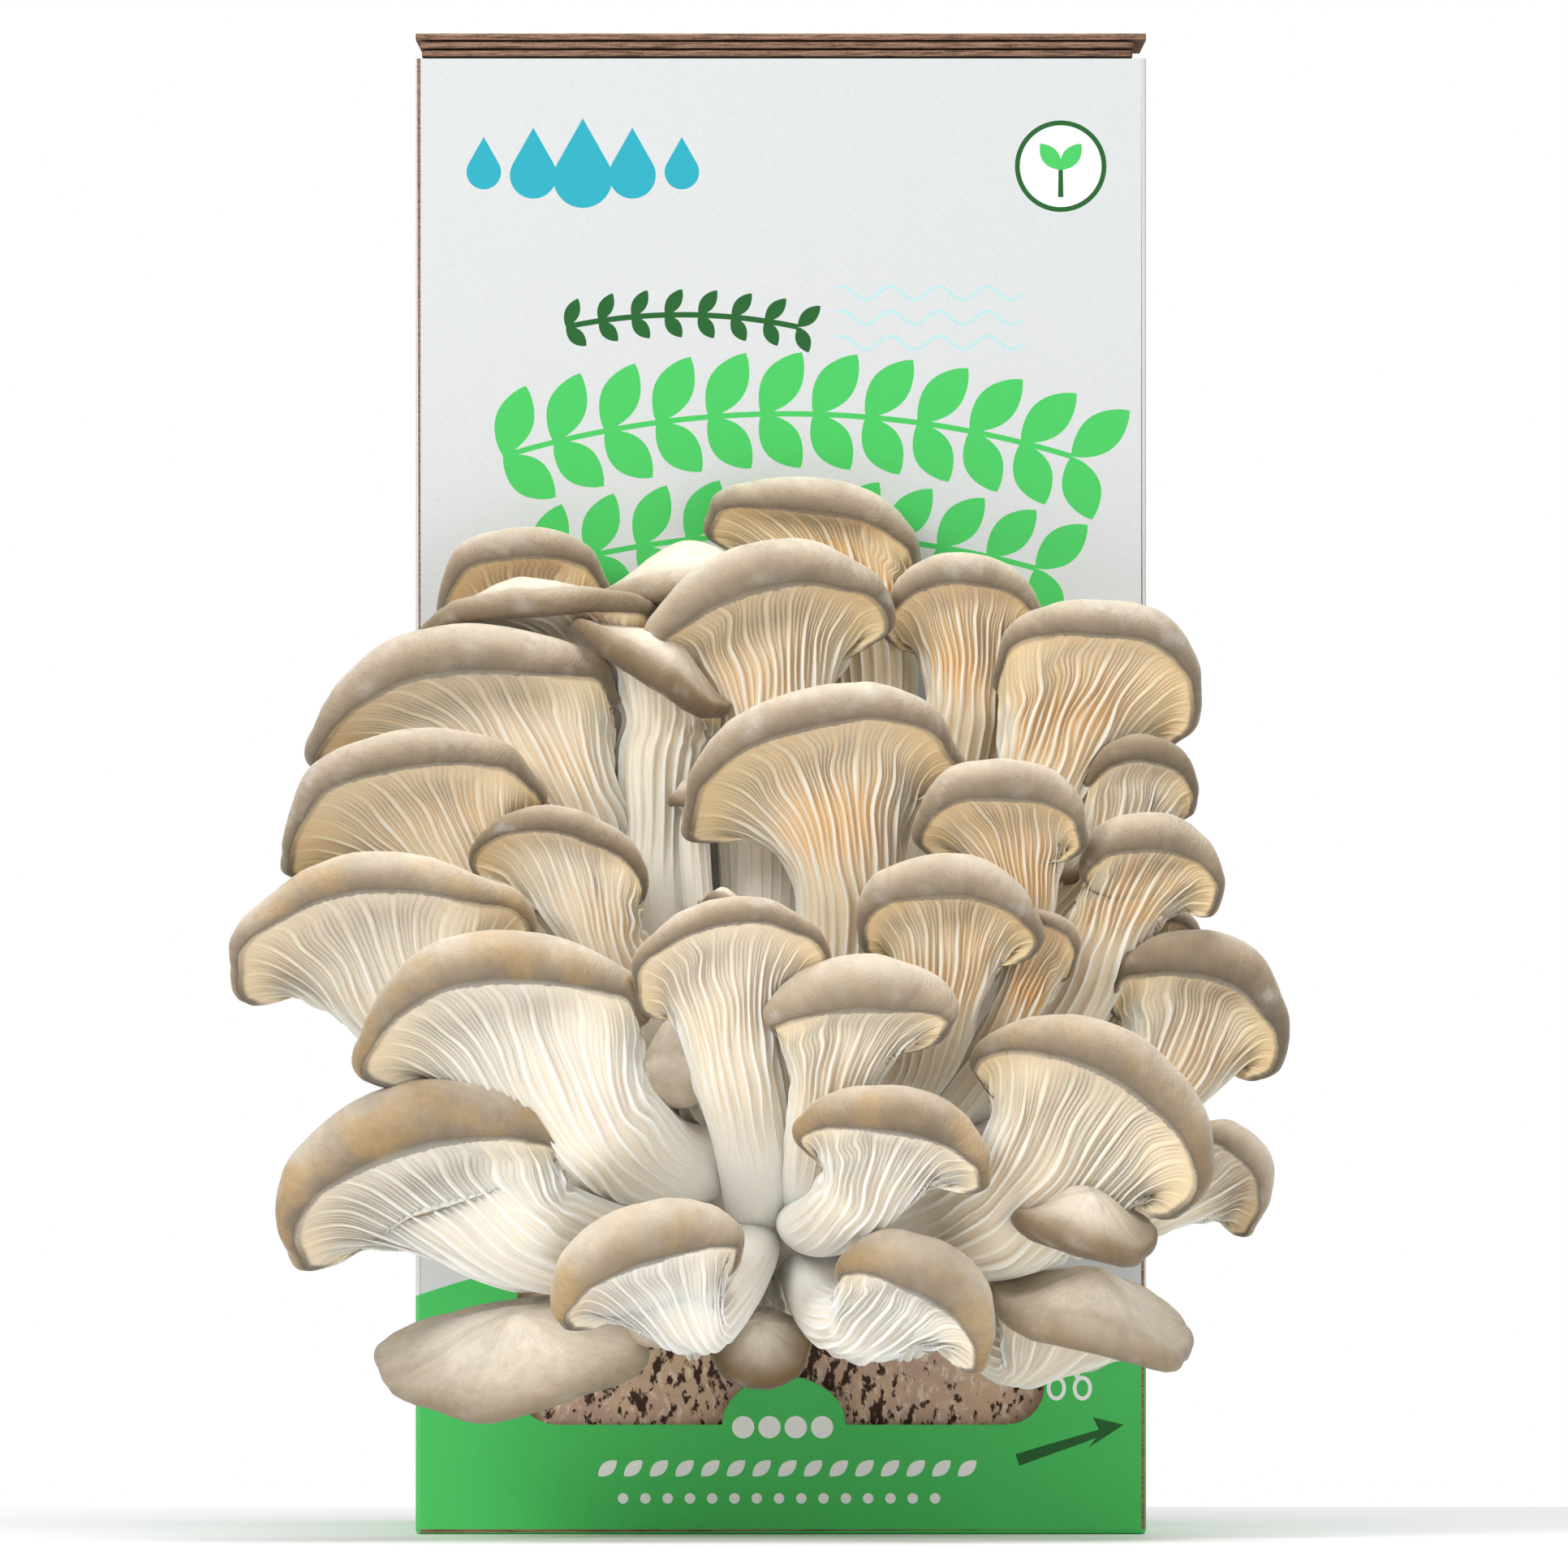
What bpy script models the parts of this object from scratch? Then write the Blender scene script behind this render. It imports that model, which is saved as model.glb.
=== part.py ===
"""Oyster mushroom grow kit: a cluster of oyster mushrooms growing out of the window cut in a carton.

Metres, +Z up, the window faces -Y and the middle of the carton's underside is the origin. The sizes below are
in millimetres. A place is written (x, out, z), where out is the distance in front of the carton's face.
"""
import math

import bmesh
import bpy
import numpy as np
from mathutils import Matrix, Vector
from mathutils.bvhtree import BVHTree

for old in list(bpy.data.objects):
    bpy.data.objects.remove(old, do_unlink=True)

MM = 0.001
TURN = 2.0 * math.pi

# The carton, in corrugated board.
CARTON_WIDTH = 118.0
CARTON_DEPTH = 106.0
CARTON_HEIGHT = 238.4
BOARD = 1.3
EDGE_ROUND = 0.8
FACE = -CARTON_DEPTH / 2.0

# The window cut in the front panel, with the rounded tab left standing in the middle of its lower edge.
WINDOW_LEFT = -42.6
WINDOW_RIGHT = 42.6
WINDOW_BOTTOM = 17.7
WINDOW_TOP = 90.5
WINDOW_CORNER = 6.2
TAB_CENTRE = 0.5
TAB_HALF_WIDTH = 10.0
TAB_HEIGHT = 7.9

# Three flap boards lie on one another on top of the carton.
FLAP_BOARD = 1.05
FLAP_GAP = 0.3

# The block of growing medium fills the lower part of the carton.
BLOCK_BEHIND_FACE = 3.0
BLOCK_TOP = 205.0
BLOCK_CLEARANCE = 0.6
BLOCK_ROUND = 5.0

# The knot at the base of the cluster, from which all the stems grow.
KNOT_CENTRE = (-0.5, 5.2, 60.3)
KNOT_HALF = (22.3, 27.5, 24.9)

GAP = 0.3

# A mushroom's cap, as parts of its lip size: how deep the gill side is hollowed at the ends and in front, how high
# the edge is rolled, how far the roll stands out, and where the cap's rings lie from the rim (0) to the middle (1).
HOLLOW_END = 0.45
HOLLOW_FRONT = 0.7
ROLL_END = 0.4
ROLL_FRONT = 0.4
ROLL_OUT = 0.38
SQUARENESS = 0.9
CAP_RINGS = np.array([0.27, 0.62])


def place(x, out, z):
    """A point in millimetres from its distance in front of the carton's face."""
    return np.array([x, FACE - out, z], float)


def new_object(name, verts, faces):
    """A named mesh object from points in millimetres, its faces turned outward."""
    mesh = bpy.data.meshes.new(name)
    mesh.from_pydata([tuple(v) for v in np.asarray(verts) * MM], [], [tuple(int(i) for i in f) for f in faces])
    bm = bmesh.new()
    bm.from_mesh(mesh)
    bmesh.ops.recalc_face_normals(bm, faces=bm.faces)
    bm.to_mesh(mesh)
    bm.free()
    obj = bpy.data.objects.new(name, mesh)
    bpy.context.scene.collection.objects.link(obj)
    return obj


def box(name, low, high):
    """A plain box between two corners in millimetres."""
    bm = bmesh.new()
    size = Vector(high) - Vector(low)
    middle = (Vector(high) + Vector(low)) / 2.0
    placed = Matrix.Translation(middle * MM) @ Matrix.Diagonal((*(size * MM), 1.0))
    bmesh.ops.create_cube(bm, size=1.0, matrix=placed)
    mesh = bpy.data.meshes.new(name)
    bm.to_mesh(mesh)
    bm.free()
    obj = bpy.data.objects.new(name, mesh)
    bpy.context.scene.collection.objects.link(obj)
    return obj


def prism(name, outline, y_low, y_high):
    """An outline in x and z, in millimetres, pushed from y_low to y_high."""
    count = len(outline)
    verts = [(x, y_low, z) for x, z in outline] + [(x, y_high, z) for x, z in outline]
    faces = [tuple(range(count)), tuple(range(2 * count - 1, count - 1, -1))]
    for i in range(count):
        j = (i + 1) % count
        faces.append((i, j, count + j, count + i))
    return new_object(name, verts, faces)


def apply_modifiers(obj):
    """Keep the shape that the object's modifiers give it."""
    graph = bpy.context.evaluated_depsgraph_get()
    mesh = bpy.data.meshes.new_from_object(obj.evaluated_get(graph))
    obj.modifiers.clear()
    obj.data = mesh


def subtract(obj, cutter):
    """Cut one solid out of another and drop the cutter."""
    cutter.hide_render = True
    cutter.display_type = "WIRE"
    cut = obj.modifiers.new("cut", "BOOLEAN")
    cut.operation = "DIFFERENCE"
    cut.solver = "EXACT"
    cut.object = cutter
    apply_modifiers(obj)
    bpy.data.objects.remove(cutter, do_unlink=True)


def bevel(obj, width, segments, chosen=None):
    """Round the chosen edges, or all of them, by a width in millimetres."""
    bm = bmesh.new()
    bm.from_mesh(obj.data)
    edges = [e for e in bm.edges if chosen is None or chosen(e)]
    bmesh.ops.bevel(bm, geom=edges, offset=width * MM, offset_type="OFFSET", segments=segments, profile=0.5,
                    affect="EDGES", clamp_overlap=True)
    bm.to_mesh(obj.data)
    bm.free()


def main_shell(obj, join):
    """Join points that fall together after a cut and keep the solid's largest piece, if that comes out closed."""
    bm = bmesh.new()
    bm.from_mesh(obj.data)
    bmesh.ops.remove_doubles(bm, verts=bm.verts, dist=join * MM)
    bmesh.ops.dissolve_degenerate(bm, edges=bm.edges, dist=0.01 * MM)
    bmesh.ops.triangulate(bm, faces=bm.faces)
    left = set(bm.faces)
    shells = []
    while left:
        seed = left.pop()
        shell = [seed]
        queue = [seed]
        while queue:
            for edge in queue.pop().edges:
                for face in edge.link_faces:
                    if face in left:
                        left.remove(face)
                        shell.append(face)
                        queue.append(face)
        shells.append(shell)
    shells.sort(key=len, reverse=True)
    for shell in shells[1:]:
        bmesh.ops.delete(bm, geom=shell, context="FACES")
    bmesh.ops.delete(bm, geom=[v for v in bm.verts if not v.link_faces], context="VERTS")
    closed = all(len(edge.link_faces) == 2 for edge in bm.edges)
    if closed:
        bm.to_mesh(obj.data)
    bm.free()
    return closed


def outline_arc(centre_x, centre_z, radius_x, radius_z, start, end, steps):
    """Points along an elliptical arc, angles in degrees."""
    angles = np.radians(np.linspace(start, end, steps))
    return [(centre_x + radius_x * math.cos(a), centre_z + radius_z * math.sin(a)) for a in angles]


def window_outline():
    """The window's outline, anticlockwise from its lower left corner."""
    corner = WINDOW_CORNER
    points = outline_arc(WINDOW_LEFT + corner, WINDOW_BOTTOM + corner, corner, corner, 180, 270, 6)
    points += outline_arc(TAB_CENTRE, WINDOW_BOTTOM, TAB_HALF_WIDTH, TAB_HEIGHT, 180, 0, 13)
    points += outline_arc(WINDOW_RIGHT - corner, WINDOW_BOTTOM + corner, corner, corner, 270, 360, 6)
    points += outline_arc(WINDOW_RIGHT - corner, WINDOW_TOP - corner, corner, corner, 0, 90, 6)
    points += outline_arc(WINDOW_LEFT + corner, WINDOW_TOP - corner, corner, corner, 90, 180, 6)
    return points


def build_carton():
    """The carton: four walls and a bottom of one board, glued shut, with the window cut in the front."""
    half = CARTON_WIDTH / 2.0
    carton = box("carton", (-half, FACE, 0.0), (half, -FACE, CARTON_HEIGHT))

    def outer_edge(edge):
        a, b = edge.verts
        upright = abs(a.co.z - b.co.z) > 0.1
        foot = max(a.co.z, b.co.z) < 0.001
        return upright or foot

    bevel(carton, EDGE_ROUND, 2, outer_edge)
    inner = half - BOARD
    inside = box("inside", (-inner, FACE + BOARD, BOARD), (inner, -FACE - BOARD, CARTON_HEIGHT + 5.0))
    subtract(carton, inside)
    subtract(carton, prism("window", window_outline(), FACE - 3.0, FACE + 8.0))


def build_flaps():
    """Three boards on top. The two lower ones stop short at the sides, as folded flaps do."""
    half = CARTON_WIDTH / 2.0
    level = CARTON_HEIGHT
    spans = (("flap_lower", -half + 1.0, half - 2.2),
             ("flap_middle", -half + 0.7, half - 2.0),
             ("flap_upper", -half, half))
    for name, left, right in spans:
        level += FLAP_GAP
        box(name, (left, FACE, level), (right, -FACE, level + FLAP_BOARD))
        level += FLAP_BOARD


def build_block():
    """The block of sawdust and bran behind the window."""
    half = CARTON_WIDTH / 2.0 - BOARD - BLOCK_CLEARANCE
    block = box("substrate_block", (-half, FACE + BLOCK_BEHIND_FACE, BOARD + GAP),
                (half, -FACE - BOARD - BLOCK_CLEARANCE, BLOCK_TOP))
    bevel(block, BLOCK_ROUND, 2)


def knot_surface(grow):
    """A lumpy ball: each point is the ball's own, moved in and out by three slow waves of the direction."""
    columns, rows = 16, 7
    around = np.arange(columns) * TURN / columns
    up = np.linspace(-math.pi / 2.0, math.pi / 2.0, rows + 2)[1:-1]
    lumps = 1.0 + 0.035 * np.sin(3.0 * around)[None, :] * np.cos(2.0 * up)[:, None] \
        + 0.03 * np.cos(4.0 * around + 1.0)[None, :] * np.sin(3.0 * up)[:, None]
    ring = np.stack([np.outer(np.cos(up), np.cos(around)), np.outer(np.cos(up), np.sin(around)),
                     np.outer(np.sin(up), np.ones(columns))], -1)
    half = np.array(KNOT_HALF) + grow
    body = place(*KNOT_CENTRE) + ring * lumps[..., None] * half
    poles = place(*KNOT_CENTRE) + np.array([[0.0, 0.0, -half[2]], [0.0, 0.0, half[2]]])
    verts = np.concatenate([poles[:1], body.reshape(-1, 3), poles[1:]])
    faces = []
    for j in range(columns):
        k = (j + 1) % columns
        faces.append((0, 1 + k, 1 + j))
        for i in range(rows - 1):
            low = 1 + i * columns
            high = low + columns
            faces.append((low + j, low + k, high + k))
            faces.append((low + j, high + k, high + j))
        last = 1 + (rows - 1) * columns
        faces.append((last + j, last + k, len(verts) - 1))
    return verts, faces


def build_knot():
    """The base of the cluster, flat at the back where it sits on the block."""
    knot = new_object("cluster_base", *knot_surface(0.0))
    behind = FACE + BLOCK_BEHIND_FACE - GAP
    subtract(knot, box("behind", (-60.0, behind, 0.0), (60.0, behind + 60.0, 140.0)))


def directions(tilt, roll):
    """The rim's own right, front and up. Tilt lifts the front edge, roll lifts the right end, in degrees."""
    tilt, roll = math.radians(tilt), math.radians(roll)
    right = np.array([1.0, 0.0, 0.0])
    front = np.array([0.0, -math.cos(tilt), math.sin(tilt)])
    up = np.array([0.0, math.sin(tilt), math.cos(tilt)])
    cosine, sine = math.cos(roll), math.sin(roll)
    turn = np.array([[cosine, 0.0, -sine], [0.0, 1.0, 0.0], [sine, 0.0, cosine]])
    return turn @ right, turn @ front, turn @ up


def unit(vectors):
    """Vectors scaled to a length of one."""
    return vectors / np.linalg.norm(vectors, axis=-1, keepdims=True)


def smooth_step(value, low, high):
    t = np.clip((value - low) / (high - low), 0.0, 1.0)
    return t * t * (3.0 - 2.0 * t)


def squared(value):
    """A cosine or sine raised to a power below one, its sign kept, which makes an oval's ends blunter."""
    return np.sign(value) * np.abs(value) ** SQUARENESS


def rim_line(angle, centre, half, front, back, own, droop, dip, seed):
    """The cap's edge: an oval of four quarters, squarer than an ellipse, its ends drooping, with slow random
    waves in and up. Behind, it may reach further at one end than at the other."""
    right_way, front_way, up_way = own
    across, ahead = squared(np.cos(angle)), squared(np.sin(angle))
    phase = np.random.RandomState(seed).uniform(0.0, TURN, 6)
    ragged = 1.0 + 0.04 * (0.3 * np.sin(2.0 * angle + phase[0]) + 0.6 * np.sin(3.0 * angle + phase[1])
                           + 0.5 * np.sin(5.0 * angle + phase[2]) + 0.25 * np.sin(9.0 * angle + phase[5]))
    height = -droop[0] * np.maximum(-across, 0.0) ** 2 - droop[1] * np.maximum(across, 0.0) ** 2
    height = height + 0.5 * (0.6 * np.sin(3.0 * angle + phase[3]) + 0.4 * np.sin(5.0 * angle + phase[4]))
    if dip:
        apart = np.degrees(np.angle(np.exp(1j * (angle - math.radians(dip[0])))))
        height = height + dip[2] * np.exp(-(apart / dip[1]) ** 2)
    left_back, right_back = np.broadcast_to(back, 2)
    behind = (left_back + right_back) / 2.0 + (right_back - left_back) / 2.0 * across
    x = across * np.where(across > 0.0, half[1], half[0]) * ragged
    y = ahead * np.where(ahead > 0.0, front, behind) * ragged
    return centre + np.outer(x, right_way) + np.outer(y, front_way) + np.outer(height, up_way)


def mushroom_surface(at, half, front, back, tilt, roll, lip, neck, neck_r, mid, root, root_r, seed,
                     droop=(0.0, 0.0), crown=0.75, dip=None, columns=10, stem_rows=3, gill_rows=3):
    """One mushroom as a closed skin. Rings climb the stem along a curve from root to neck and sweep out to the
    rim along Bezier curves that hollow the gill side. The cap's rings follow a half turn of an ellipse, which
    is the rolled edge, and a dome closes over them."""
    centre = place(*at)
    neck, mid, root = place(*neck), place(*mid), place(*root)
    own = directions(tilt, roll)
    right_way, front_way, up_way = own
    angle = np.arange(columns) * TURN / columns
    across, ahead = np.cos(angle), np.sin(angle)

    t = np.linspace(1.0, 0.0, stem_rows + 1)[:, None]
    middle = (1.0 - t) ** 2 * neck + 2.0 * t * (1.0 - t) * mid + t ** 2 * root
    along = -unit(2.0 * (1.0 - t) * (mid - neck) + 2.0 * t * (root - mid))
    radius = neck_r + (root_r - neck_r) * t
    side = unit(right_way - along * (along @ right_way)[:, None])
    forward = np.cross(side, along)
    stem = middle[:, None] + radius[:, None] * (across[None, :, None] * side[:, None]
                                                + 0.8 * ahead[None, :, None] * forward[:, None])

    rim = rim_line(angle, centre, half, front, back, own, droop, dip, seed)
    top_ring = stem[-1]
    forwards = np.maximum(ahead, 0.0) ** 2
    reach = np.linalg.norm(rim - top_ring, axis=1)[:, None]
    rim_side, neck_side = (rim - centre) @ right_way, (top_ring - centre) @ right_way
    beyond = smooth_step(neck_side * np.sign(across) / np.maximum(np.abs(rim_side), 1.0), 0.55, 1.0)
    beyond = (beyond * smooth_step(np.abs(across), 0.3, 0.8))[:, None]
    inner = centre + 0.3 * (neck - centre)
    inner = inner + beyond * (top_ring - inner)
    hollow = lip * (HOLLOW_END + HOLLOW_FRONT * forwards)[:, None] * (1.0 - 0.6 * beyond)
    first = rim + 0.35 * (inner - rim) + hollow * up_way
    second = top_ring + 0.4 * reach * along[-1]
    second = second - np.maximum(0.0, (second - centre) @ up_way + 0.1 * lip)[:, None] * up_way
    s = np.linspace(1.0, 0.0, gill_rows + 1)[1:, None, None]
    r = 1.0 - s
    gills = r ** 3 * rim + 3.0 * r ** 2 * s * first + 3.0 * r * s ** 2 * second + s ** 3 * top_ring

    roll_height = lip * (ROLL_END + ROLL_FRONT * forwards)
    roll_out = ROLL_OUT * lip * (0.3 + 0.7 * forwards)
    half_turn = math.pi * np.minimum(1.0, CAP_RINGS / 0.5)[:, None]
    in_dome = np.maximum(0.0, CAP_RINGS - 0.5)[:, None] / 0.5
    lift = roll_height * (1.0 - np.cos(half_turn)) / 2.0
    lift = lift + (crown * lip - roll_height) * smooth_step(in_dome, 0.0, 1.0)
    top = centre + (rim - centre)[None] * (1.0 - in_dome[..., None])
    top = top + (roll_out * np.sin(half_turn))[..., None] * unit(rim - centre)[None] + lift[..., None] * up_way

    first_point = middle[0] - along[0] * root_r * 0.5
    last_point = centre + up_way * crown * lip
    rings = np.concatenate([stem, gills, top])
    verts = np.concatenate([first_point[None], rings.reshape(-1, 3), last_point[None]])
    faces = []
    for j in range(columns):
        k = (j + 1) % columns
        faces.append((0, 1 + k, 1 + j))
        for i in range(len(rings) - 1):
            low = 1 + i * columns
            high = low + columns
            faces.append((low + j, low + k, high + k))
            faces.append((low + j, high + k, high + j))
        last = 1 + (len(rings) - 1) * columns
        faces.append((last + j, last + k, len(verts) - 1))
    return verts, faces


def grown(obj, distance):
    """A copy of a solid's mesh with every point moved out along its normal, in millimetres."""
    bm = bmesh.new()
    bm.from_mesh(obj.data)
    bm.normal_update()
    moved = [vert.co + vert.normal * distance * MM * min(2.0, vert.calc_shell_factor()) for vert in bm.verts]
    for vert, co in zip(bm.verts, moved):
        vert.co = co
    mesh = bpy.data.meshes.new(obj.name + "_grown")
    bm.to_mesh(mesh)
    bm.free()
    copy = bpy.data.objects.new(obj.name + "_grown", mesh)
    bpy.context.scene.collection.objects.link(copy)
    return copy


def meet(one, other):
    """True if the surfaces of two objects cross."""
    trees = []
    for obj in (one, other):
        bm = bmesh.new()
        bm.from_mesh(obj.data)
        trees.append(BVHTree.FromBMesh(bm))
        bm.free()
    return bool(trees[0].overlap(trees[1]))


MADE = {}


def mushroom(name, **sizes):
    """Make one mushroom and keep its sizes with it."""
    obj = new_object(name, *mushroom_surface(**sizes))
    MADE[name] = obj
    return obj


def fit_together():
    """Stems that press on each other flatten: each mushroom gives way to those in front of it and to the knot."""
    front_first = list(reversed(MADE.values()))
    knot = new_object("knot_grown", *knot_surface(GAP + 0.1))
    skins = {obj.name: grown(obj, GAP + 0.1) for obj in front_first}
    for i, obj in enumerate(front_first):
        for other in front_first[:i]:
            cutter = skins[other.name]
            if meet(obj, cutter):
                copy = cutter.copy()
                copy.data = cutter.data.copy()
                bpy.context.scene.collection.objects.link(copy)
                subtract(obj, copy)
        copy = knot.copy()
        copy.data = knot.data.copy()
        bpy.context.scene.collection.objects.link(copy)
        subtract(obj, copy)
        if not any(main_shell(obj, join) for join in (0.08, 0.05, 0.02, 0.005)):
            raise RuntimeError(obj.name + " is not closed")
    for helper in list(skins.values()) + [knot]:
        bpy.data.objects.remove(helper, do_unlink=True)


build_carton()
build_flaps()
build_block()
build_knot()

# The mushrooms, from the back of the cluster to the front.
mushroom("mushroom_top_left", at=(-41, 9, 149), half=(14, 13), front=10.5, back=4.5, tilt=54, roll=6,
         lip=8.5, neck=(-34.5, 6.5, 133.5), neck_r=5, mid=(-26, 3.5, 106), root=(-11, 4.5, 74.5),
         root_r=3, seed=1449, columns=9, gill_rows=2)
mushroom("mushroom_flat_upper_left", at=(-42, 18.5, 148), half=(17.5, 21.5), front=8, back=8, tilt=2,
         roll=3, lip=6, neck=(-26.5, 14.5, 133.5), neck_r=5, mid=(-19.5, 10.5, 106),
         root=(-9.5, 10.5, 72), root_r=3.5, seed=1456, columns=9, gill_rows=2, crown=1.1, droop=(4, 1))
mushroom("mushroom_top_behind", at=(-14.5, 10.5, 151.5), half=(14.5, 14), front=8, back=8, tilt=-6,
         roll=8, lip=7, neck=(-9, 6.5, 139), neck_r=5, mid=(-8, 4.5, 114), root=(-5, 4.5, 76),
         root_r=3.5, seed=1470, columns=9, gill_rows=2, crown=1.3)
mushroom("mushroom_top_centre", at=(5, 8, 159.5), half=(16.5, 16.5), front=6.8, back=5, tilt=54, roll=-9,
         lip=10, neck=(14, 6.5, 143), neck_r=7, mid=(17, 6, 116.5), root=(5, 8, 77.5), root_r=5,
         seed=1442, droop=(0, 1.5))
mushroom("mushroom_top_right", at=(29, 14.5, 146), half=(12.5, 12.5), front=8.5, back=5, tilt=54, roll=0,
         lip=8.5, neck=(30, 12, 132), neck_r=6.5, mid=(26.5, 6.5, 110), root=(9, 6, 74.5), root_r=4.5,
         seed=1498)
mushroom("mushroom_upper_right", at=(51, 19.5, 135), half=(16, 15.5), front=12.8, back=(5, 11), tilt=54,
         roll=-8, lip=10, neck=(41, 18.5, 118.5), neck_r=7.5, mid=(33, 17, 101), root=(15, 12.5, 72),
         root_r=5.5, seed=1442, droop=(0, 0.5))
mushroom("mushroom_big_left", at=(-49.5, 26, 131), half=(25, 22.5), front=10.4, back=(9, 3.5), tilt=54,
         roll=9, lip=14, neck=(-34, 20.5, 115.5), neck_r=9, mid=(-26.5, 12.5, 97), root=(-13.5, 9, 71),
         root_r=5.5, seed=1477, droop=(3.5, 0), columns=11, dip=(60, 25, -3))
mushroom("mushroom_upper_centre", at=(-1.5, 21.5, 143), half=(19.5, 18.5), front=11.2, back=6.5, tilt=54,
         roll=12, lip=13.5, neck=(-2, 18.5, 126), neck_r=8.5, mid=(-3, 16.5, 103.5), root=(-3.5, 13, 72),
         root_r=5, seed=1463, droop=(3.5, 0), columns=11)
mushroom("mushroom_twisted_grey", at=(-21, 23.5, 138.5), half=(15, 12.5), front=8, back=8, tilt=-12,
         roll=-32, lip=6.5, neck=(-19.5, 19.5, 126), neck_r=7, mid=(-22, 21.5, 106),
         root=(-14.5, 14.5, 74.5), root_r=5.5, seed=1484, crown=1.1)
mushroom("button_upper", at=(-14.6, 27.6, 118), half=(3.2, 3.2), front=2.6, back=2.6, tilt=0, roll=8,
         lip=3.4, neck=(-13.8, 26.8, 115.2), neck_r=1.8, mid=(-14.4, 25, 101), root=(-8.8, 19.6, 74.8),
         root_r=3.2, seed=1512, columns=9, gill_rows=2, crown=1.2)
mushroom("mushroom_small_curled", at=(47, 17, 106), half=(6.5, 6.5), front=5, back=5, tilt=-10, roll=0,
         lip=5, neck=(45.5, 12, 97), neck_r=2.5, mid=(36, 6.5, 78.5), root=(17, 5, 65.5), root_r=2,
         seed=1512, columns=9, gill_rows=2, crown=1.2)
mushroom("mushroom_right_edge_upper", at=(58, 21, 118.5), half=(9, 8.5), front=7.1, back=5, tilt=54,
         roll=-3, lip=7.5, neck=(50, 19.5, 105), neck_r=5.5, mid=(36.5, 15.5, 90.5),
         root=(18, 10.5, 69.5), root_r=3.5, seed=1498, columns=9, gill_rows=2)
mushroom("mushroom_small_right", at=(60.5, 23.5, 95.5), half=(6.5, 6.5), front=5, back=4, tilt=54,
         roll=-12, lip=4.5, neck=(57.5, 21, 86.5), neck_r=4, mid=(45.5, 13, 73.5), root=(19.5, 6, 60.5),
         root_r=3, seed=1456, columns=9, gill_rows=2)
mushroom("mushroom_left_middle", at=(-59, 34, 114.5), half=(21, 20.5), front=11.2, back=(8.5, 4),
         tilt=54, roll=10, lip=10.5, neck=(-45, 25, 101.5), neck_r=8, mid=(-30, 16.5, 84),
         root=(-14.5, 8, 71), root_r=5, seed=1449, droop=(3.5, 0), columns=11)
mushroom("mushroom_left_hollow", at=(-36, 34.5, 105), half=(13.5, 13.5), front=10.1, back=6, tilt=54,
         roll=-12, lip=7.5, neck=(-27, 32, 94), neck_r=6, mid=(-20, 25, 81.5), root=(-10, 15, 71.5),
         root_r=4.5, seed=1470, droop=(0, 2))
mushroom("mushroom_large_centre", at=(7.5, 33, 119.5), half=(22.5, 22), front=13.2, back=(7, 5), tilt=54,
         roll=10, lip=11, neck=(11, 28, 102.5), neck_r=8, mid=(11.5, 25, 84), root=(6.5, 15.5, 61.5),
         root_r=7.5, seed=1491, droop=(2.5, 0), columns=11)
mushroom("mushroom_right_of_centre", at=(35.5, 38, 113), half=(13, 12.5), front=6.9, back=6, tilt=54,
         roll=0, lip=11.5, neck=(38, 31.5, 99.5), neck_r=5, mid=(32, 22.5, 86.5), root=(15.5, 12, 72),
         root_r=4.5, seed=1456, droop=(0.5, 1.5))
mushroom("mushroom_right_edge_middle", at=(59.5, 34, 105.5), half=(10.5, 10.5), front=5.9, back=(3, 8),
         tilt=54, roll=2, lip=11, neck=(51, 29, 93.5), neck_r=6, mid=(47, 26, 77.5), root=(16, 15.5, 64),
         root_r=5, seed=1505, droop=(0, 3.5))
mushroom("mushroom_far_left", at=(-65, 44, 95), half=(23, 24), front=11.2, back=(9, 4), tilt=54, roll=4,
         lip=11, neck=(-52.5, 36, 80.5), neck_r=9.5, mid=(-35.5, 23.5, 70), root=(-16, 12, 61),
         root_r=5.5, seed=1463, droop=(8, 0), columns=11, dip=(60, 25, -2))
mushroom("mushroom_pale_behind", at=(-17.5, 33, 71), half=(7, 6.5), front=5, back=5, tilt=-15, roll=0,
         lip=10, neck=(-14.5, 29, 69), neck_r=3, mid=(-12, 23.5, 65.5), root=(-7.5, 17, 62.5), root_r=3,
         seed=1470, columns=9, gill_rows=2, crown=1.3)
mushroom("button_centre", at=(-9.4, 43.2, 101.6), half=(3.6, 3.6), front=2.8, back=2.6, tilt=0, roll=0,
         lip=2.6, neck=(-10, 42.6, 99), neck_r=1.6, mid=(-12.4, 39.4, 90.4), root=(-6.2, 21, 72.2),
         root_r=1.8, seed=1519, columns=9, gill_rows=2, crown=1.2)
mushroom("mushroom_centre_right", at=(27, 44.5, 96.5), half=(14, 13.5), front=7.8, back=6, tilt=54,
         roll=0, lip=12, neck=(24.5, 39.5, 82.5), neck_r=6, mid=(20.5, 33, 71), root=(13, 19.5, 64),
         root_r=5, seed=1484, droop=(0.5, 2))
mushroom("mushroom_small_hooked", at=(41.5, 39.5, 93.5), half=(7, 5.5), front=6.5, back=4, tilt=50,
         roll=-28, lip=4, neck=(36.5, 36, 82.5), neck_r=3.5, mid=(28.5, 30, 68), root=(15.5, 17, 60.5),
         root_r=4, seed=1491, columns=9, gill_rows=2)
mushroom("mushroom_far_right", at=(66.5, 30, 82.5), half=(14, 13.5), front=9.2, back=(4, 10), tilt=54,
         roll=-14, lip=13, neck=(57, 27.5, 69.5), neck_r=6.5, mid=(43.5, 23.5, 61.5),
         root=(16, 14.5, 59), root_r=5, seed=1463, droop=(0, 4))
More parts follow.
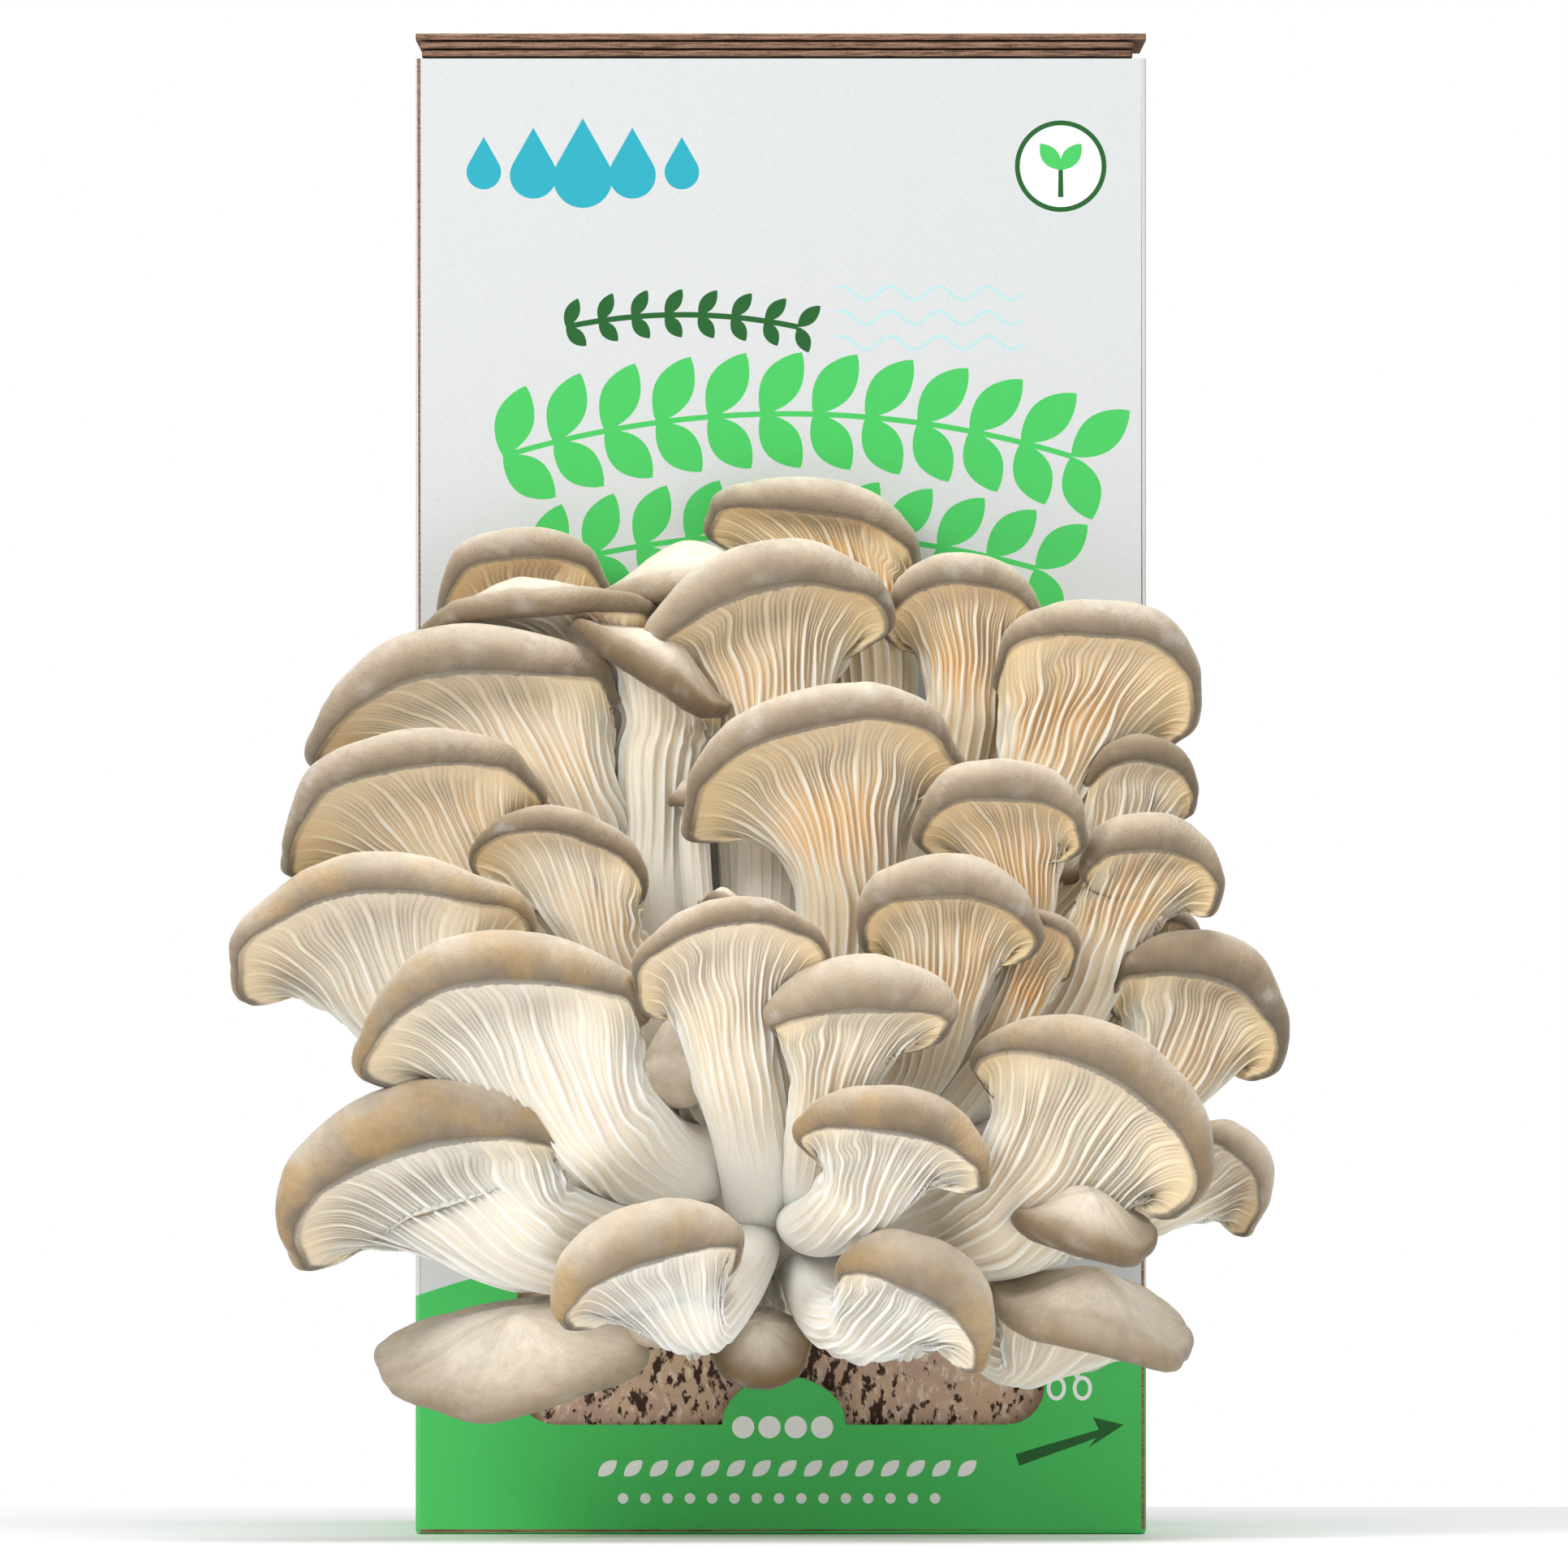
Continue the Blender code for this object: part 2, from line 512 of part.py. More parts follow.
mushroom("mushroom_right_edge_lower", at=(69.5, 33, 56.5), half=(8.5, 8.5), front=7.5, back=5, tilt=54,
         roll=-35, lip=8, neck=(59.5, 30, 54), neck_r=5, mid=(44.5, 21, 52), root=(13.5, 10.5, 52.5),
         root_r=4.5, seed=1477, droop=(0, 3.5), columns=9, gill_rows=2)
mushroom("mushroom_centre_front", at=(-8, 52.5, 90), half=(15.5, 15), front=10.6, back=6.5, tilt=54,
         roll=6, lip=7.5, neck=(-6.5, 48.5, 74.5), neck_r=7, mid=(-4, 46, 64), root=(-3, 25, 52.5),
         root_r=6, seed=1463, droop=(3.5, 0))
mushroom("mushroom_centre_low", at=(13.5, 57.5, 82.5), half=(14, 13), front=3, back=6, tilt=50, roll=3,
         lip=15.5, neck=(7, 51, 68), neck_r=5.5, mid=(5, 46, 59), root=(5, 26, 52.5), root_r=5,
         seed=1470, droop=(0, 1.5))
mushroom("mushroom_left_front", at=(-44.5, 52.5, 81), half=(22, 22), front=10.5, back=(9, 3), tilt=54,
         roll=6, lip=14.5, neck=(-30, 46, 66), neck_r=11.5, mid=(-21, 35.5, 57.5), root=(-9.5, 18.5, 61),
         root_r=7.5, seed=1477, droop=(5, 0), columns=11, dip=(55, 25, -2))
mushroom("mushroom_big_right", at=(49, 52.5, 65.5), half=(20, 19.5), front=11.3, back=(3.5, 9), tilt=54,
         roll=-28, lip=14, neck=(36, 46, 52.5), neck_r=10.5, mid=(24.5, 36.5, 47), root=(9, 19.5, 52.5),
         root_r=7.5, seed=1470, droop=(0, 6), columns=11)
mushroom("mushroom_front_right", at=(18, 63, 62.5), half=(14.5, 14.5), front=3.7, back=6, tilt=50,
         roll=-8, lip=13, neck=(11.5, 55, 54), neck_r=6.5, mid=(5.5, 47, 48.5), root=(5, 26, 51),
         root_r=6, seed=1477, droop=(0, 4))
mushroom("mushroom_right_flat_upper", at=(48, 51, 49.5), half=(11, 11), front=6.5, back=8, tilt=-34,
         roll=-16, lip=7, neck=(40.5, 42, 47), neck_r=4, mid=(29, 27, 44), root=(11, 9, 47), root_r=3.5,
         seed=1484, columns=9, gill_rows=2, crown=1.2)
mushroom("mushroom_lower_left", at=(-58, 52.5, 55), half=(21.5, 22.5), front=8.7, back=(9, 3), tilt=54,
         roll=16, lip=18.5, neck=(-39, 43, 49.5), neck_r=10.5, mid=(-24, 33, 45.5), root=(-11, 14.5, 53),
         root_r=8, seed=1484, droop=(6, 0), columns=11)
mushroom("mushroom_low_front_left", at=(-21, 61.5, 42.5), half=(15, 14.5), front=3, back=7, tilt=42,
         roll=16, lip=15.5, neck=(-13, 55.5, 35), neck_r=6, mid=(-5, 43.5, 43.5),
         root=(-5.5, 19.5, 48.5), root_r=5.5, seed=1505, droop=(4.5, 0))
mushroom("mushroom_low_front_right", at=(21.5, 60.5, 37.5), half=(12.5, 12.5), front=3, back=6.5,
         tilt=42, roll=-24, lip=15, neck=(12, 55, 34), neck_r=6, mid=(6, 43.5, 34.5),
         root=(5, 19.5, 43.5), root_r=5.5, seed=1456, droop=(0, 6))
mushroom("mushroom_bottom_left_flat", at=(-42, 35, 29), half=(21.5, 21.5), front=9, back=9, tilt=-45,
         roll=8, lip=9.5, neck=(-30, 28, 33), neck_r=5, mid=(-18, 20, 36), root=(-9.5, 10.5, 42),
         root_r=5, seed=1491, crown=1.15)
mushroom("mushroom_bottom_pale", at=(-16.5, 38, 33.5), half=(7, 7), front=6.5, back=5, tilt=-20, roll=8,
         lip=8, neck=(-15, 36, 31), neck_r=2.5, mid=(-10, 31.5, 39.5), root=(-6, 19.5, 46), root_r=3,
         seed=1498, columns=9, gill_rows=2, crown=1.2)
mushroom("mushroom_teardrop", at=(-3.5, 39.5, 31.5), half=(8, 8), front=8.5, back=6, tilt=-50, roll=0,
         lip=4.5, neck=(-3.5, 31.5, 35.5), neck_r=4, mid=(-3.5, 26, 38), root=(-3.5, 14.5, 42),
         root_r=3.5, seed=1449, columns=9, gill_rows=2, crown=1.2)
mushroom("mushroom_grey_behind", at=(23.5, 43.5, 33), half=(6.5, 6.5), front=5, back=5, tilt=-25,
         roll=-12, lip=5, neck=(20.5, 41.5, 31), neck_r=2.5, mid=(13, 34, 39.5), root=(6.5, 19.5, 43.5),
         root_r=3, seed=1505, columns=9, gill_rows=2, crown=1.2)
mushroom("mushroom_bottom_right_flat", at=(49.5, 39, 35.5), half=(15.5, 16.5), front=8.5, back=8,
         tilt=-34, roll=-10, lip=8, neck=(38.5, 35.5, 29), neck_r=5.5, mid=(24.5, 22.5, 35.5),
         root=(7.5, 12, 45), root_r=5, seed=1491, droop=(0, 4.5), crown=1.2)

fit_together()
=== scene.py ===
import math

import bmesh
import bpy
import numpy as np
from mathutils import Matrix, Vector, geometry


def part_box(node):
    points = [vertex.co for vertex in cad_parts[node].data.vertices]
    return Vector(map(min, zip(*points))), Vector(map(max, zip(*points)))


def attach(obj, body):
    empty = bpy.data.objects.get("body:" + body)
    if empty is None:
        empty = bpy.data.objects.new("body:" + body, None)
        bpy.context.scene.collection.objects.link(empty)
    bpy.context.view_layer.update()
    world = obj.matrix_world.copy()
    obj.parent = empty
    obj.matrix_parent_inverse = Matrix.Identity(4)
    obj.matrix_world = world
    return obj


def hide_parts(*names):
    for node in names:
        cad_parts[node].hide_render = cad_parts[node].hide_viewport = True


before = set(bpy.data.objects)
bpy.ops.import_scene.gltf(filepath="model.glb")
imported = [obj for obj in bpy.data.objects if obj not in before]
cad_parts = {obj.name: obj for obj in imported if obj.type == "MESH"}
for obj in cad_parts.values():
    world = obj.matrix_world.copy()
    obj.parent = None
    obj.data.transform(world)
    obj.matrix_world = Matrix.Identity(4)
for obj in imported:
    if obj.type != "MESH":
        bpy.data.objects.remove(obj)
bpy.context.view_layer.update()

MM = 0.001
TURN = 2.0 * math.pi


# The carton: one sheet of corrugated board, printed outside, brown inside and at its cut edges, folded and
# glued into a box with the window die-cut in its front. The print is flush: its shapes are faces of the front
# panel itself, each with its ink, over a pale ground with a linen look and a green foot with an arched top.
CARTON_LOW, CARTON_HIGH = (np.array(corner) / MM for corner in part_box("carton"))
FACE = CARTON_LOW[1]
PAPER = (0.61, 0.63, 0.63)
GREEN = (0.055, 0.52, 0.105)
DARK_GREEN = (0.004, 0.10, 0.012)
TEAL = (0.012, 0.36, 0.46)
PALE_TEAL = (0.42, 0.68, 0.70)
WHITE = (0.88, 0.89, 0.87)
BROWN_INK = (0.09, 0.035, 0.015)
KRAFT = (0.33, 0.19, 0.115)
KRAFT_DARK = (0.13, 0.062, 0.036)
FOOT_HEIGHT = 38.5
FOOT_RISE = 10.0


def add_node(tree, kind, inputs=None, **settings):
    """A node of one kind, with its settings by name and its inputs by name or number, set or linked."""
    made = tree.nodes.new("ShaderNode" + kind)
    for name, value in settings.items():
        setattr(made, name, value)
    for name, value in (inputs or {}).items():
        if isinstance(value, bpy.types.NodeSocket):
            tree.links.new(value, made.inputs[name])
        else:
            made.inputs[name].default_value = value
    return made


def arithmetic(tree, operation, *values):
    """One Math node's result."""
    return add_node(tree, "Math", dict(enumerate(values)), operation=operation).outputs[0]


def blend_colours(tree, amount, one, other, way="MIX"):
    """Two colours mixed by an amount."""
    mix = add_node(tree, "Mix", data_type="RGBA", blend_type=way)
    for name, value in (("Factor", amount), ("A", one), ("B", other)):
        socket = next(s for s in mix.inputs if s.name == name and s.enabled)
        if isinstance(value, bpy.types.NodeSocket):
            tree.links.new(value, socket)
        elif name == "Factor":
            socket.default_value = value
        else:
            socket.default_value = (*value, 1.0)
    return next(s for s in mix.outputs if s.enabled)


def ramp(tree, value, low, high):
    """0 below low, 1 above high and a smooth rise between."""
    made = add_node(tree, "MapRange", {"Value": value, "From Min": low, "From Max": high},
                    interpolation_type="SMOOTHSTEP")
    return made.outputs["Result"]


def new_group(name, inputs, outputs):
    """An empty shader node group with its named inputs and outputs."""
    group = bpy.data.node_groups.new(name, "ShaderNodeTree")
    for label, kind, value in inputs:
        socket = group.interface.new_socket(label, in_out="INPUT", socket_type="NodeSocket" + kind)
        if value is not None:
            socket.default_value = value
    for label, kind in outputs:
        group.interface.new_socket(label, in_out="OUTPUT", socket_type="NodeSocket" + kind)
    return group, group.nodes.new("NodeGroupInput").outputs, group.nodes.new("NodeGroupOutput").inputs


def new_material(name, roughness, **constants):
    """A material with its Principled shader's constants set on the shader itself."""
    material = bpy.data.materials.new(name)
    material.use_nodes = True
    shader = material.node_tree.nodes["Principled BSDF"]
    shader.inputs["Roughness"].default_value = roughness
    for label, value in constants.items():
        shader.inputs[label.replace("_", " ")].default_value = value
    return material, material.node_tree, shader


def place_millimetres(tree):
    """Object coordinates in millimetres."""
    place = add_node(tree, "TexCoord").outputs["Object"]
    return add_node(tree, "VectorMath", {0: place, "Scale": 1.0 / MM}, operation="SCALE").outputs[0]


def noise(tree, place, scale, detail=2.0, roughness=0.5):
    """A noise value around 0.5."""
    made = add_node(tree, "TexNoise", {"Vector": place, "Scale": scale, "Detail": detail, "Roughness": roughness})
    return made.outputs["Fac"]


def stretched(tree, place, across, along, deep=None):
    """A place scaled by its own amount in each direction."""
    deep = across if deep is None else deep
    return add_node(tree, "VectorMath", {0: place, 1: (across, along, deep)}, operation="MULTIPLY").outputs[0]


# Linen: crossed threads, each a noise drawn out along one direction, and a few dark slubs.
linen, linen_in, linen_out = new_group(
    "linen", [("Place", "Vector", None), ("Threads", "Float", 2.2)], [("Weave", "Float"), ("Slubs", "Float")])
weft = noise(linen, stretched(linen, linen_in["Place"], 0.5, 3.4), linen_in["Threads"], 2.0)
warp = noise(linen, stretched(linen, linen_in["Place"], 3.4, 0.5), linen_in["Threads"], 2.0)
linen.links.new(arithmetic(linen, "ADD", arithmetic(linen, "MULTIPLY", weft, 0.5),
                           arithmetic(linen, "MULTIPLY", warp, 0.5)), linen_out["Weave"])
slub = noise(linen, stretched(linen, linen_in["Place"], 0.55, 1.6), 0.9, 3.0, 0.7)
linen.links.new(ramp(linen, slub, 0.66, 0.74), linen_out["Slubs"])

# Fibre: the short streaks of brown board, drawn out along one direction.
fibre, fibre_in, fibre_out = new_group(
    "fibre", [("Place", "Vector", None), ("Light", "Color", (*KRAFT, 1.0)), ("Dark", "Color", (*KRAFT_DARK, 1.0))],
    [("Colour", "Color"), ("Height", "Float")])
streak = noise(fibre, stretched(fibre, fibre_in["Place"], 0.12, 2.4, 0.6), 1.6, 5.0, 0.65)
grit = noise(fibre, fibre_in["Place"], 2.2, 3.0, 0.7)
fibre_mix = arithmetic(fibre, "ADD", arithmetic(fibre, "MULTIPLY", streak, 0.75), arithmetic(fibre, "MULTIPLY", grit, 0.25))
fibre.links.new(blend_colours(fibre, ramp(fibre, fibre_mix, 0.36, 0.60), fibre_in["Dark"], fibre_in["Light"]),
                fibre_out["Colour"])
fibre.links.new(fibre_mix, fibre_out["Height"])


def printed_board():
    """Pale linen print over the green foot, with the ink of each face on top. The horizontal place along a
    panel is x + y, which runs on round the corners."""
    material, tree, shader = new_material("printed_board", 0.55, IOR=1.45)
    place = place_millimetres(tree)
    split = add_node(tree, "SeparateXYZ", {0: place})
    x, y, z = split.outputs
    panel = add_node(tree, "CombineXYZ", {0: arithmetic(tree, "ADD", x, y), 1: z}).outputs[0]
    threads = add_node(tree, "Group", node_tree=linen)
    tree.links.new(panel, threads.inputs["Place"])
    weave, slubs = threads.outputs
    half_square = (CARTON_HIGH[0]) ** 2
    arch = arithmetic(tree, "MULTIPLY", arithmetic(tree, "MULTIPLY", x, x), -FOOT_RISE / half_square)
    line = arithmetic(tree, "ADD", arch, FOOT_HEIGHT + FOOT_RISE)
    foot = ramp(tree, arithmetic(tree, "SUBTRACT", line, z), -0.08, 0.08)
    ink = add_node(tree, "Attribute", attribute_name="ink", attribute_type="GEOMETRY")
    ground = blend_colours(tree, foot, PAPER, GREEN)
    inked = blend_colours(tree, ink.outputs["Alpha"], ground, ink.outputs["Color"])
    shade = arithmetic(tree, "ADD", arithmetic(tree, "MULTIPLY", weave, 0.34), 0.83)
    shade = arithmetic(tree, "SUBTRACT", shade, arithmetic(tree, "MULTIPLY", slubs, 0.10))
    grey = add_node(tree, "CombineXYZ", {0: shade, 1: shade, 2: shade}).outputs[0]
    colour = blend_colours(tree, 1.0, inked, grey, "MULTIPLY")
    tree.links.new(colour, shader.inputs["Base Color"])
    flutes = noise(tree, stretched(tree, panel, 0.25, 0.02), 1.0, 1.0)
    height = arithmetic(tree, "ADD", arithmetic(tree, "MULTIPLY", flutes, 0.6), arithmetic(tree, "MULTIPLY", weave, 0.10))
    bump = add_node(tree, "Bump", {"Strength": 0.5, "Distance": 0.4 * MM, "Height": height})
    tree.links.new(bump.outputs[0], shader.inputs["Normal"])
    return material


def raw_board(name, light, dark):
    """Brown board where it isn't printed."""
    material, tree, shader = new_material(name, 0.85, IOR=1.4)
    strands = add_node(tree, "Group", node_tree=fibre)
    place = place_millimetres(tree)
    turned = add_node(tree, "SeparateXYZ", {0: place}).outputs
    along = add_node(tree, "CombineXYZ", {0: turned[0], 1: turned[2], 2: turned[1]}).outputs[0]
    tree.links.new(along, strands.inputs["Place"])
    strands.inputs["Light"].default_value = (*light, 1.0)
    strands.inputs["Dark"].default_value = (*dark, 1.0)
    tree.links.new(strands.outputs["Colour"], shader.inputs["Base Color"])
    bump = add_node(tree, "Bump", {"Strength": 0.6, "Distance": 0.3 * MM, "Height": strands.outputs["Height"]})
    tree.links.new(bump.outputs[0], shader.inputs["Normal"])
    return material


def leaf(x, z, length, width, lean):
    """A pointed leaf from its foot, an outline of width w sin(pi t)^0.8 / 2 along its length, leaning in degrees."""
    t = np.linspace(0.0, 1.0, 15)
    half = 0.5 * width * np.sin(math.pi * t) ** 0.8
    along = np.concatenate([t, t[-2:0:-1]]) * length
    aside = np.concatenate([half, -half[-2:0:-1]])
    lean = math.radians(lean)
    return np.stack([x + along * math.cos(lean) - aside * math.sin(lean),
                     z + along * math.sin(lean) + aside * math.cos(lean)], -1)


def ellipse(x, z, across, tall, points=40):
    """An ellipse from its centre and its two radii."""
    angle = np.arange(points) * TURN / points
    return np.stack([x + across * np.cos(angle), z + tall * np.sin(angle)], -1)


def drop(x, z, height):
    """A water drop: a circle drawn out to a point above it."""
    angle = np.radians(np.linspace(-210.0, 30.0, 25))
    radius = height * 0.33
    round_part = np.stack([x + radius * np.cos(angle), z + radius + radius * np.sin(angle)], -1)
    return np.concatenate([round_part, [[x, z + height]]])


def stroke(points, start, end):
    """A line of a width that goes from start to end, as the outline at half the width to either side of its points."""
    points = np.asarray(points, float)
    direction = np.gradient(points, axis=0)
    direction /= np.linalg.norm(direction, axis=1, keepdims=True)
    aside = np.stack([-direction[:, 1], direction[:, 0]], -1)
    half = np.linspace(start, end, len(points))[:, None] / 2.0
    return np.concatenate([points + aside * half, (points - aside * half)[::-1]])


def arch_point(centre_x, foot_z, radius, angle):
    """A point on an arch whose circle is centred below it. Angle 0 is the top, in degrees."""
    angle = np.radians(angle)
    return np.stack([centre_x + radius * np.sin(angle), foot_z + radius * np.cos(angle)], -1)


def garland(centre_x, top_z, radius, spread, count, leaf_long, leaf_wide, colour):
    """Pairs of leaves on an arched stalk."""
    foot_z = top_z - radius
    angles = np.linspace(-spread, spread, count)
    shapes = [(stroke(arch_point(centre_x, foot_z, radius, np.linspace(-spread, spread, 60)), 0.9, 0.9), colour)]
    for i, angle in enumerate(angles):
        x, z = arch_point(centre_x, foot_z, radius, angle)
        shapes.append((leaf(x, z, leaf_long, leaf_wide, 55.0 - angle), colour))
        shapes.append((leaf(x, z, leaf_long * 0.9, leaf_wide, -55.0 - angle), colour))
    return shapes


def print_shapes():
    """All the inked shapes of the front, in x and z in millimetres. A later shape lies over an earlier one."""
    shapes = []
    for i, height in enumerate((8.5, 11.5, 14.5, 11.5, 8.5)):
        shapes.append((drop(-48.0 + 8.0 * i, 221.5 - height / 2.0, height), TEAL))
    shapes += [(ellipse(45.2, 221.0, 7.4, 7.4, 56), DARK_GREEN), (ellipse(45.2, 221.0, 6.6, 6.6, 56), WHITE)]
    shapes += [(stroke([(45.2, 216.0), (45.2, 218.5), (45.2, 221.0)], 0.9, 0.7), DARK_GREEN)]
    shapes += [(leaf(45.2, 220.4, 5.4, 2.8, 52.0), GREEN), (leaf(45.2, 220.4, 5.4, 2.8, 128.0), GREEN)]
    shapes += garland(1.0, 181.0, 157.0, 17.0, 12, 12.0, 6.2, GREEN)
    shapes += garland(1.0, 161.5, 150.0, 15.5, 11, 11.0, 5.8, GREEN)
    shapes += garland(-16.0, 197.0, 90.0, 12.0, 8, 5.0, 2.4, DARK_GREEN)
    x = np.linspace(9.0, 39.0, 60)
    for level in (192.5, 196.5, 200.5):
        shapes.append((stroke(np.stack([x, level + 1.1 * np.sin(x * 0.8)], -1), 0.45, 0.45), PALE_TEAL))
    shapes += [(ellipse(-6.1 + 4.25 * i, 17.3, 1.8, 1.8, 32), WHITE) for i in range(4)]
    shapes += [(leaf(-29.5 + 4.15 * i, 9.4, 3.9, 2.1, 40.0), WHITE) for i in range(15)]
    shapes += [(ellipse(-25.5 + 3.6 * i, 5.8, 0.85, 0.85, 24), WHITE) for i in range(15)]
    shapes += [(stroke([(38.2, 12.0), (43.0, 13.6), (48.0, 15.2), (51.6, 16.4)], 2.0, 1.1), DARK_GREEN)]
    shapes += [(np.array([(50.4, 18.9), (51.6, 16.4), (49.6, 13.9), (55.4, 17.7)]), DARK_GREEN)]
    for side in (-1.0, 1.0):
        ring_x = 46.6 + 2.1 * side
        shapes += [(ellipse(ring_x, 23.6, 1.55, 2.0), WHITE), (ellipse(ring_x, 23.6, 0.95, 1.35), GREEN)]
        shapes += [(stroke([(46.6 + 1.4 * side, 25.3), (46.6, 28.3), (46.6 - 2.2 * side, 34.0)], 0.8, 1.2), WHITE)]
    return shapes


def clockwise(outline):
    """True if a closed outline runs clockwise, by the sign of its area."""
    x, z = outline.T
    return np.sum(x * np.roll(z, -1) - z * np.roll(x, -1)) < 0.0


def inked_carton():
    """The carton's own shell, its front face parted along the outline of every inked shape by a Delaunay
    triangulation that keeps those outlines as edges, so that the print is part of one flat face."""
    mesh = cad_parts["carton"].data.copy()
    mesh.materials.clear()
    mesh.attributes.remove(mesh.attributes["custom_normal"])
    bm = bmesh.new()
    bm.from_mesh(mesh)
    bmesh.ops.remove_doubles(bm, verts=bm.verts, dist=0.001 * MM)
    flat = 0.01 * MM
    front = [f for f in bm.faces if all(abs(v.co.y - FACE * MM) < flat for v in f.verts)]
    chosen = set(front)
    border = [e for e in bm.edges if sum(f in chosen for f in e.link_faces) == 1]
    corners = sorted({v for e in border for v in e.verts}, key=lambda v: (round(v.co.x, 7), round(v.co.z, 7)))
    number = {v: i for i, v in enumerate(corners)}
    points = [Vector((v.co.x, v.co.z)) / MM for v in corners]
    edges = [(number[e.verts[0]], number[e.verts[1]]) for e in border]
    window = window_loop(border, number)
    outlines = [window[::-1] if clockwise(np.array([points[i] for i in window])) else window]
    shapes = print_shapes()
    for outline, _ in shapes:
        outlines.append(list(range(len(points), len(points) + len(outline))))
        points += [Vector(p) for p in (outline[::-1] if clockwise(outline) else outline)]
    made = geometry.delaunay_2d_cdt(points, edges, outlines, 1, 1e-5, True)
    bmesh.ops.delete(bm, geom=front, context="FACES")
    ink = bm.loops.layers.float_color.new("ink")
    for face in bm.faces:
        for loop in face.loops:
            loop[ink] = (0.0, 0.0, 0.0, 0.0)
    new_verts = [bm.verts.new((p.x * MM, FACE * MM, p.y * MM)) for p in made[0]]
    for triangle, inside in zip(made[2], made[5]):
        if 0 in inside:
            continue
        face = bm.faces.new([new_verts[i] for i in triangle])
        face.normal_update()
        if face.normal.y > 0.0:
            face.normal_flip()
        top = max([i for i in inside if i > 0], default=0)
        colour = (*shapes[top - 1][1], 1.0) if top else (0.0, 0.0, 0.0, 0.0)
        for loop in face.loops:
            loop[ink] = colour
    bmesh.ops.delete(bm, geom=[v for v in bm.verts if not v.link_faces], context="VERTS")
    bmesh.ops.remove_doubles(bm, verts=bm.verts, dist=0.0005 * MM)
    skin = 0.5
    for face in bm.faces:
        centre = face.calc_center_median() / MM
        on_front = centre.y < FACE + 0.02
        at_side = abs(centre.x) > CARTON_HIGH[0] - skin or centre.y > CARTON_HIGH[1] - skin or centre.z < skin
        edge_on = abs(face.normal.z) > 0.9 and centre.z > CARTON_HIGH[2] - 0.1
        face.material_index = 0 if (on_front or at_side) and not edge_on else 1
        face.smooth = False
    bm.to_mesh(mesh)
    bm.free()
    return mesh


def window_loop(border, number):
    """The border edges that go round the window, as one closed run of point numbers."""
    inner = [e for e in border if all(abs(v.co.x) < 45.0 * MM and 1.0 * MM < v.co.z < 100.0 * MM for v in e.verts)]
    links = {}
    for edge in inner:
        one, other = (number[v] for v in edge.verts)
        links.setdefault(one, []).append(other)
        links.setdefault(other, []).append(one)
    start = min(links)
    run = [start, min(links[start])]
    while run[-1] != start:
        run.append(next(n for n in links[run[-1]] if n != run[-2]))
    return run[:-1]


carton = bpy.data.objects.new("carton_board", inked_carton())
bpy.context.scene.collection.objects.link(carton)
carton.data.materials.append(printed_board())
carton.data.materials.append(raw_board("cut_board", KRAFT, KRAFT_DARK))
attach(carton, "root")
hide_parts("carton")


# The three flap boards: brown board with cut, streaked front edges, folded down on one another over the top.
# Each is a profile, a rectangle with rounded arrises and a furred front, carried from its left end to its right.
BOARD_STEPS = 260
BOARD_ROUND = 0.3


def add_mesh(name, points, triangles, smooth=True):
    """A mesh object from arrays, in millimetres, turned outward by the sign of its volume."""
    corners = points[triangles]
    volume = np.einsum("ij,ij->i", corners[:, 0], np.cross(corners[:, 1], corners[:, 2])).sum()
    if volume < 0.0:
        triangles = triangles[:, ::-1]
    mesh = bpy.data.meshes.new(name)
    mesh.vertices.add(len(points))
    mesh.vertices.foreach_set("co", (points * MM).astype(np.float32).ravel())
    mesh.loops.add(triangles.size)
    mesh.loops.foreach_set("vertex_index", triangles.astype(np.int32).ravel())
    mesh.polygons.add(len(triangles))
    mesh.polygons.foreach_set("loop_start", np.arange(0, triangles.size, 3, dtype=np.int32))
    mesh.polygons.foreach_set("use_smooth", np.full(len(triangles), smooth))
    mesh.update(calc_edges=True)
    obj = bpy.data.objects.new(name, mesh)
    bpy.context.scene.collection.objects.link(obj)
    return obj


def bands(rings, columns, first=0):
    """Triangles between neighbouring closed rings of the same count."""
    i, j = np.meshgrid(np.arange(rings - 1), np.arange(columns), indexing="ij")
    k = (j + 1) % columns
    low, high = first + i * columns, first + (i + 1) * columns
    return np.concatenate([np.stack([low + k, low + j, high + k], -1).reshape(-1, 3),
                           np.stack([low + j, high + j, high + k], -1).reshape(-1, 3)])


def fan(ring, point):
    """Triangles from a closed ring of point numbers to one point."""
    return np.stack([ring, np.roll(ring, -1), np.full(len(ring), point)], -1)


def waves(place, count, longest, seed):
    """A smooth random value near -1 to 1 at each place: sines of random direction, each a little shorter."""
    draw = np.random.RandomState(seed)
    total = np.zeros(place.shape[:-1])
    for i in range(count):
        length = longest * 0.72 ** i
        way = draw.normal(size=3)
        way *= TURN / (length * np.linalg.norm(way))
        total += 0.72 ** (0.6 * i) * np.sin(place @ way + draw.uniform(0.0, TURN))
    return total / math.sqrt(count)


